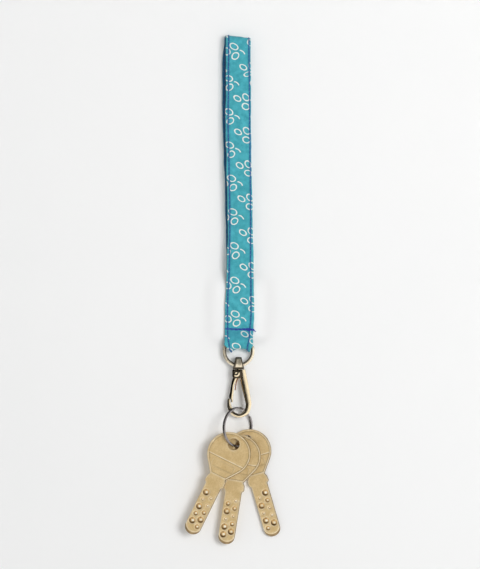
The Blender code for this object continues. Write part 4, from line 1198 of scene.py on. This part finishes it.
def key_relief(points, dimples, lean):
    """Depth below a key's face, and its wear with painted highlights, its painted shade and its
    painted warm reflections.
    """
    x, up = points.T
    edge = signed_distance(points, OUTLINE)
    panel = signed_distance(points, PANEL)
    hole = np.hypot(x, up - HOLE_UP) - HOLE_RADIUS
    in_panel = smoothstep(panel / 0.15)
    depth = PANEL_DEPTH * in_panel
    step = np.abs(up - STEP_LINE)
    below = (up < STEP_LINE) * smoothstep(step / 0.2)
    depth = depth + in_panel * (0.11 * bell(step, 0.16) + 0.03 * below)
    half, top, bottom = BLANK
    blank = np.minimum(half - np.abs(x), np.minimum(top - up, up - bottom))
    depth = depth + 0.06 * smoothstep(blank / 0.2)
    # Painted light and shade along the relief's edges: a bright and a dark line beside the
    # outline, panel, step, blank and hole, and painted shade on the rim away from the light.
    towards = np.array([math.cos(RIM_SHADE - lean), math.sin(RIM_SHADE - lean)])
    facing = (edge - signed_distance(points + 0.1 * towards, OUTLINE)) / 0.1
    away_side = smoothstep(facing * 1.4) * (edge < 1.2)
    worn = 0.5 * bell(edge - 0.22 - 0.36 * away_side, 0.20) + 0.5 * bell(panel + 0.10, 0.14)
    worn = worn + 0.65 * in_panel * bell(up - STEP_LINE - 0.30, 0.17)
    dark = 0.6 * bell(panel - 0.16, 0.15) + 0.7 * in_panel * bell(up - STEP_LINE + 0.02, 0.15)
    dark = dark + 0.2 * bell(blank - 0.15, 0.14)
    worn = worn + 0.22 * in_panel * bell(blank + 0.14, 0.15)
    dark = np.maximum(dark, 0.95 * away_side * bell(edge - 0.06, 0.32))
    worn = worn + 0.35 * bell(hole - 0.30, 0.16)
    depth = np.maximum(depth, edge_round(edge, EDGE_ROUNDS[0]))
    depth = np.maximum(depth, edge_round(hole, EDGE_ROUNDS[1]))
    beyond = np.hypot(x, up - TIP - BLADE_HALF - TIP_ARC_UP) - BLADE_HALF
    beyond = np.where(up < TIP + BLADE_HALF + TIP_ARC_UP, beyond, -1.0)
    depth = np.maximum(depth, TIP_SLOPE * beyond)
    # Painted highlight along the top of the tip's slope, and painted shade down it.
    worn = worn + 0.6 * bell(beyond + 0.08, 0.16)
    dark = np.maximum(dark, 0.80 * smoothstep(beyond / 0.35 - 0.2))
    painted_warm_reflection = np.zeros_like(x)
    for across, along, mouth, deep in dimples:
        away = np.hypot(x - across, up - along)
        wall = np.clip((mouth - away) / (mouth * (1 - DIMPLE_FLOOR)), 0, 1)
        lip = 0.05 * np.clip(1 - np.abs(away - mouth) / 0.15, 0, 1)
        depth = np.maximum(depth, deep * wall + lip)
        # Painted shade down each dimple's lower left and a little of its top, and a painted warm
        # reflection on its wall.
        way = np.arctan2(up - along, x - across) + lean
        shaded = smoothstep(0.62 + 0.9 * np.cos(way - DIMPLE_SHADE))
        shaded = np.maximum(shaded, 0.75 * smoothstep(4 * np.cos(way - DIMPLE_TOP_SHADE) - 3))
        band = smoothstep(wall * 8) * smoothstep((1 - wall) * 2.8)
        size = min(1.0, (mouth / DIMPLES["L"][0]) ** 0.8)
        dark = np.maximum(dark, band * shaded * size)
        painted_warm_reflection = np.maximum(painted_warm_reflection, smoothstep(wall * 6) * smoothstep((1 - wall) * 2))
        worn = worn * (wall <= 0) + 0.35 * bell(away - mouth - 0.08, 0.12)
        # A painted glint just off each dimple's centre.
        glint = np.hypot(x - across - 0.2 * mouth * math.cos(-lean),
                         up - along - 0.2 * mouth * math.sin(-lean))
        shine = smoothstep(1.4 - glint / max(0.38 * mouth, 0.5))
        worn = worn + shine
        dark, painted_warm_reflection = dark * (1 - shine), painted_warm_reflection * (1 - shine)
    worn = np.clip(worn * (0.75 + 0.5 * dapple(x, up, 2.2, 51)), 0, 1)
    depth = depth + 0.012 * dapple(x, up, 4.0, 53) * smoothstep(edge - 0.2)
    dark = np.clip(dark * (0.9 + 0.2 * dapple(x, up, 1.1, 52)), 0, 1)
    return depth, {"worn": worn * (1 - 0.7 * dark), "painted_key_shade": dark, "painted_warm_reflection": painted_warm_reflection}


def key_face(dimples):
    """Triangles of one face, with lines of points along every feature of its relief."""
    points, edges = [], []

    def add_line(line, closed=True):
        start = len(points)
        points.extend(Vector(point) for point in line)
        last = len(line) if closed else len(line) - 1
        edges.extend((start + i, start + (i + 1) % len(line)) for i in range(last))

    add_line(OUTLINE)
    for inset in OUTLINE_INSETS:
        add_line(inset_loop(OUTLINE, inset))
    for out in (0.0, 0.02, 0.07, 0.14, 0.22, 0.4):
        add_line(arc((0.0, HOLE_UP), HOLE_RADIUS + out, 0, 360, HOLE_AROUND)[:-1])
    for inset in (-0.12, 0.0, 0.05, 0.10, 0.15, 0.3):
        add_line(inset_loop(PANEL, inset))
    for offset in (-0.42, -0.28, -0.16, -0.08, 0.0, 0.08, 0.16, 0.28):
        level = STEP_LINE + offset
        reach = math.sqrt((BOW_RADIUS - RIM_WIDTH) ** 2 - level ** 2) - 0.35
        add_line(np.stack([np.linspace(-reach, reach, 26), np.full(26, level)], axis=1), False)
    half, top, bottom = BLANK
    for inset in (0.0, 0.07, 0.14, 0.2):
        add_line([(-half + inset, top - inset), (half - inset, top - inset),
                  (half - inset, bottom + inset), (-half + inset, bottom + inset)])
    tip_centre = TIP + BLADE_HALF + TIP_ARC_UP
    for out in (-0.2, -0.05, 0.05, 0.2, 0.5, 1.0):
        line = arc((0.0, tip_centre), BLADE_HALF + out, -10, -170, 50)
        keep = signed_distance(line, OUTLINE) > 0.55
        if keep.any():
            add_line(line[keep], False)
    for across, along, mouth, _ in dimples:
        radii = [mouth * share for share in (1.0, 0.93, 0.8, 0.62, 0.45, 0.36, DIMPLE_FLOOR, 0.2)]
        for radius in (*radii, mouth + 0.07, mouth + 0.15):
            add_line(arc((across, along), radius, 0, 360, DIMPLE_AROUND)[:-1])
        points.append(Vector((across, along)))
    lattice = np.array([(column * 1.0 + (row % 2) * 0.5, row * 0.87)
                        for row in range(-64, 17) for column in range(-14, 15)])
    clear = signed_distance(lattice, OUTLINE) > 0.8
    clear &= np.abs(signed_distance(lattice, PANEL)) > 0.45
    clear &= np.hypot(lattice[:, 0], lattice[:, 1] - HOLE_UP) > HOLE_RADIUS + 0.7
    clear &= np.abs(lattice[:, 1] - STEP_LINE) > 0.6
    for across, along, mouth, _ in dimples:
        clear &= np.hypot(lattice[:, 0] - across, lattice[:, 1] - along) > mouth + 0.45
    points.extend(Vector(point) for point in lattice[clear])
    verts, _, faces, origins, _, _ = delaunay_2d_cdt(points, edges, [], 0, 1e-5)
    flat = np.array([tuple(v) for v in verts])
    middles = np.array([flat[list(face)].mean(axis=0) for face in faces])
    kept = signed_distance(middles, OUTLINE) > 0
    kept &= np.hypot(middles[:, 0], middles[:, 1] - HOLE_UP) > HOLE_RADIUS * 0.999
    faces = [face for face, keep in zip(faces, kept) if keep]
    place_of = {origin: index for index, found in enumerate(origins) for origin in found}
    outline = [place_of[i] for i in range(len(OUTLINE))]
    hole_start = (1 + len(OUTLINE_INSETS)) * len(OUTLINE)
    hole = [place_of[hole_start + i] for i in range(HOLE_AROUND)]
    return flat, faces, (outline, hole)


def make_key(name, swing, early_side, early, late, material):
    """One dimple key, both faces with their relief, joined by its outline's and hole's walls."""
    bm = bmesh.new()
    layers = {word: bm.verts.layers.float.new(word) for word in ("worn", "painted_key_shade", "painted_warm_reflection")}
    rims = []
    for face in (-1, 1):
        dimples = dimple_places(early_side, early, late, face)
        flat, triangles, loops = key_face(dimples)
        depth, looks = key_relief(flat, dimples, math.radians(-swing))
        used = sorted({index for triangle in triangles for index in triangle})
        verts = {}
        for index in used:
            x, up = flat[index]
            vert = bm.verts.new((x, face * (KEY_HALF - depth[index]), up - HOLE_UP))
            for word, layer in layers.items():
                vert[layer] = looks[word][index]
            verts[index] = vert
        for triangle in triangles:
            bm.faces.new([verts[index] for index in triangle])
        rims.append([[verts[index] for index in loop] for loop in loops])
    for front, back in zip(*rims):
        for i in range(len(front)):
            k = (i + 1) % len(front)
            bm.faces.new((front[i], front[k], back[k], back[i]))
    # Painted shade on the hole's wall.
    for vert in rims[0][1] + rims[1][1]:
        vert[layers["painted_key_shade"]] = 0.7
    turn = (Matrix.Translation(JOINTS[name + "_swing"])
            @ Matrix.Rotation(math.radians(swing), 4, "Y") @ Matrix.Scale(MM, 4))
    bmesh.ops.transform(bm, matrix=turn, verts=bm.verts)
    return finish_mesh(name + "_brass", bm, material, 32)


# --- Stage, light and camera ---------------------------------------------------------------
CAMERA_DISTANCE = 1.7
FRAME_HEIGHT = 347.1 * MM
FRAME_CENTRE = (0.9 * MM, -150.1 * MM)
SENSOR = 36.0
# Each light: its place from the part's middle, its size and its power.
LIGHTS = {"key_light": ((0.95, -1.9, 0.24), 0.87, 24.3),
          "rear_light": ((0.3, 1.4, 0.5), 0.9, 6.0)}
AMBIENT = 0.46
# What polished metal mirrors: how bright the world is, from opposite this way to along it.
MIRROR_WAY = (0.52, 0.0, -0.85)
MIRROR_STOPS = ((0.0, 0.30), (0.10, 0.30), (0.13, 0.03), (0.54, 0.03), (0.58, 0.8),
                (0.70, 1.3), (1.0, 1.1))


def stage_material(name, frontal_only=False):
    """Plain pale paper, lit as if square to the camera and clear from the sides if asked."""
    nodes = Nodes(name)
    speck = nodes.noise(nodes.place(), 9.0, 2.0)
    tone = nodes.mix(speck, (0.905, 0.908, 0.905), (0.925, 0.925, 0.922))
    material = nodes.finish(Base_Color=tone, Roughness=0.95, Specular_IOR_Level=0.0)
    if frontal_only:
        facing = nodes.node("CombineXYZ", {"Y": -1.0}).outputs[0]
        nodes.finish(Normal=facing)
        straight = nodes.dot(nodes.node("NewGeometry").outputs["Incoming"], facing)
        aside = nodes.math("LESS_THAN", straight, FRONTAL)
        clear = nodes.node("BsdfTransparent").outputs[0]
        mixed = nodes.node("MixShader", {0: aside, 1: nodes.shader.outputs[0], 2: clear})
        join(nodes.tree, mixed.outputs[0], nodes.tree.nodes["Material Output"].inputs[0])
    return material


def plain_mesh(name, bm, material):
    """A sheet of the stage, its faces as built."""
    item = mesh_object(name, bm)
    item.data.materials.append(material)
    item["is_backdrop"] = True
    return item


def rise_and_fall(values, knots):
    """0 outside the first and last knots, 1 between the middle two; knots in millimetres."""
    start, full, leave, end = (knot * MM for knot in knots)
    return (smoothstep((values - start) / (full - start))
            * (1 - smoothstep((values - leave) / (end - leave))))


def make_stage():
    """A pale floor, and a backdrop close behind that only the camera in front sees."""
    z = cad_box[0].z - FLOOR_DROP
    bm = bmesh.new()
    bm.faces.new([bm.verts.new((x * STAGE_HALF, y * STAGE_HALF, z))
                  for x, y in ((-1, -1), (1, -1), (1, 1), (-1, 1))])
    floor = plain_mesh("floor", bm, stage_material("floor_paper"))
    floor.visible_glossy = False
    fine_aside, fine_up = BACKDROP_FINE
    near = np.arange(-fine_aside, fine_aside + 1) * MM
    across = np.concatenate([[-STAGE_HALF, -0.4, -0.1], near, [0.1, 0.4, STAGE_HALF]])
    down = np.concatenate([[-0.4, -0.1], np.arange(-fine_up, int(-z / MM) - 1) * MM, [-z]])
    bm = bmesh.new()
    rows = []
    for depth, y in zip(down, stations(BACKDROP, down, 1)):
        ys = np.full(len(across), y)
        for place, sideways, lengthways in BACKDROP_PATCHES:
            share = rise_and_fall(across, sideways) * rise_and_fall(depth, lengthways)
            ys = ys + (place - y) * share
        rows.append([bm.verts.new((x, at, -depth)) for x, at in zip(across, ys)])
    for above, below in zip(rows, rows[1:]):
        for i in range(len(across) - 1):
            bm.faces.new((above[i], below[i], below[i + 1], above[i + 1]))
    wall = plain_mesh("backdrop", bm, stage_material("backdrop_paper", True))
    wall.data.shade_smooth()
    for ray in ("diffuse", "glossy", "transmission", "shadow"):
        setattr(wall, "visible_" + ray, False)
    return wall


def keep_behind(wall, pieces):
    """Moves the backdrop back by as much as any piece swings behind its place at rest."""
    group = bpy.data.node_groups.new("keep_behind", "GeometryNodeTree")
    for way in ("INPUT", "OUTPUT"):
        group.interface.new_socket("Geometry", in_out=way, socket_type="NodeSocketGeometry")

    def node(kind, inputs=(), **settings):
        return add_node(group, kind, inputs, **settings).outputs

    def sum_of(operation, *values):
        return node("ShaderNodeMath", dict(enumerate(values)), operation=operation)[0]

    together = add_node(group, "GeometryNodeJoinGeometry")
    for piece in pieces:
        info = node("GeometryNodeObjectInfo", {"Object": piece}, transform_space="RELATIVE")
        join(group, info["Geometry"], together.inputs[0])
    box = node("GeometryNodeBoundBox", {"Geometry": together.outputs[0]})
    back = node("ShaderNodeSeparateXYZ", {0: box["Max"]})["Y"]
    rest = max(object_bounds()[1][1], cad_box[1].y) + 0.2 * MM
    beyond = sum_of("MAXIMUM", sum_of("SUBTRACT", back, rest), 0.0)
    shift = sum_of("MULTIPLY_ADD", sum_of("MINIMUM", beyond, MM), BACKDROP_LEAP, beyond)
    moved = node("GeometryNodeSetPosition",
                 {"Geometry": node("NodeGroupInput")[0],
                  "Offset": node("ShaderNodeCombineXYZ", {"Y": shift})[0]})
    add_node(group, "NodeGroupOutput", {0: moved[0]})
    wall.modifiers.new("keep_behind", "NODES").node_group = group


def make_world():
    """Even pale light; polished metal sees a bright lower right and a dark upper left."""
    world = bpy.data.worlds.new("studio")
    bpy.context.scene.world = world
    world.use_nodes = True
    tree = world.node_tree
    tree.nodes.clear()

    def node(kind, inputs=(), **settings):
        return add_node(tree, "ShaderNode" + kind, inputs, **settings).outputs

    towards = node("VectorMath", {0: node("TexCoord")["Generated"], 1: MIRROR_WAY},
                   operation="DOT_PRODUCT")["Value"]
    along = node("MapRange", {"Value": towards, "From Min": -1.0, "From Max": 1.0})[0]
    ramp = add_node(tree, "ShaderNodeValToRGB", {0: along})
    elements = ramp.color_ramp.elements
    elements.remove(elements[0])
    elements[0].position = MIRROR_STOPS[0][0]
    for index, (position, value) in enumerate(MIRROR_STOPS):
        element = elements.new(position) if index else elements[0]
        element.color = (value, value * 0.97, value * 0.92, 1.0)
    shown, ambient, mirrored = (
        node("Background", {"Color": tone, "Strength": strength})[0]
        for tone, strength in (((0.90, 0.905, 0.905, 1.0), 1.0), ((1.0, 1.0, 1.0, 1.0), AMBIENT),
                               (ramp.outputs[0], 1.0)))
    path = node("LightPath")
    lit = node("MixShader", {0: path["Is Glossy Ray"], 1: ambient, 2: mirrored})[0]
    seen = node("MixShader", {0: path["Is Camera Ray"], 1: lit, 2: shown})[0]
    node("OutputWorld", {0: seen})


def make_lights_and_camera():
    """Two soft square lights aimed at the part's middle, and a camera square to its front."""
    middle = (cad_box[0] + cad_box[1]) / 2
    for name, (place, size, power) in LIGHTS.items():
        data = bpy.data.lights.new(name, "AREA")
        data.shape, data.size, data.energy = "SQUARE", size, power
        light = add_object(name, data)
        light.location = middle + Vector(place)
        light.rotation_euler = (-Vector(place)).to_track_quat("-Z", "Y").to_euler()
        light.visible_glossy = light.visible_camera = False
    camera = bpy.data.cameras.new("camera")
    camera.lens = SENSOR * CAMERA_DISTANCE / FRAME_HEIGHT
    camera.sensor_width = SENSOR
    item = add_object("camera", camera)
    item.location = (FRAME_CENTRE[0], -CAMERA_DISTANCE, FRAME_CENTRE[1])
    item.rotation_euler = (math.radians(90), 0, 0)
    camera.clip_start, camera.clip_end = 0.1, 50.0
    bpy.context.scene.camera = item
    bpy.context.scene.view_settings.view_transform = "Standard"


PIECES = []


def carry(item, body, node):
    """Puts a piece on its body and hides the node that it stands for."""
    PIECES.append(item)
    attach(item, body)
    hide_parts(node)


def make_sewn_parts():
    edge = thread_material("edge_thread", (0.018, 0.085, 0.27), (0.045, 0.18, 0.45))
    cross = thread_material("cross_thread", (0.012, 0.035, 0.30), (0.05, 0.10, 0.55))
    carry(make_cover(cotton_material()), "strap", "cotton_cover")
    carry(make_core(core_material()), "strap", "strap_core")
    inner = TOP_Z - JOIN_START_Z
    rows = (("needle", 1, 0.5 * MM, TOP_S + (TOP_Z - JOIN_END_Z)),
            ("bobbin", -1, TOP_S - inner, TOP_S + inner))
    for side, word in ((-1, "left"), (1, "right")):
        for thread, face, start, end in rows:
            row = make_edge_stitches(f"{thread}_stitches_{word}", side, face, start, end, edge)
            carry(row, "strap", f"{thread}_thread_{word}")
    for word, face_y in (("front", -1), ("back", 1)):
        rows = make_cross_stitches("cross_stitches_" + word, face_y, word == "front", cross)
        carry(rows, "strap", "cross_stitch_" + word)


def make_hardware():
    gold = plated_material("pale_gold", (0.84, 0.73, 0.53), (0.70, 0.58, 0.38), 0.16, "painted_shade")
    copper = plated_material("spring_copper", (0.42, 0.17, 0.08), (0.28, 0.11, 0.05), 0.40)
    steel = plated_material("gunmetal", (0.29, 0.275, 0.285), (0.17, 0.16, 0.17), 0.26)
    # A lighter, half-metallic copy of the gold plating for the D-ring and the eye: painted light,
    # so that they look brighter than the hook.
    lit_gold = plated_material("lit_gold_copy", (0.88, 0.78, 0.60), (0.78, 0.66, 0.46), 0.24,
                             "painted_shade", metallic=0.5)
    for make, material, body, node in (
            (make_d_ring, lit_gold, "d_ring", "d_ring"), (make_eye, lit_gold, "eye", "swivel_eye"),
            (make_hook, gold, "hook", "hook_body"), (make_gate, gold, "gate", "gate"),
            (make_rivet, gold, "hook", "gate_rivet")):
        carry(make(material), body, node)
    carry(make_spring(copper), "gate", "gate_spring")
    carry(make_split_ring(steel), "ring", "split_ring")


def make_keys():
    brass = key_material()
    for name, (swing, early_side, early, late) in KEYS.items():
        carry(make_key(name, swing, early_side, early, late, brass), name, name)


def main():
    wall = make_stage()
    make_world()
    make_lights_and_camera()
    make_sewn_parts()
    make_hardware()
    make_keys()
    keep_behind(wall, PIECES)


main()
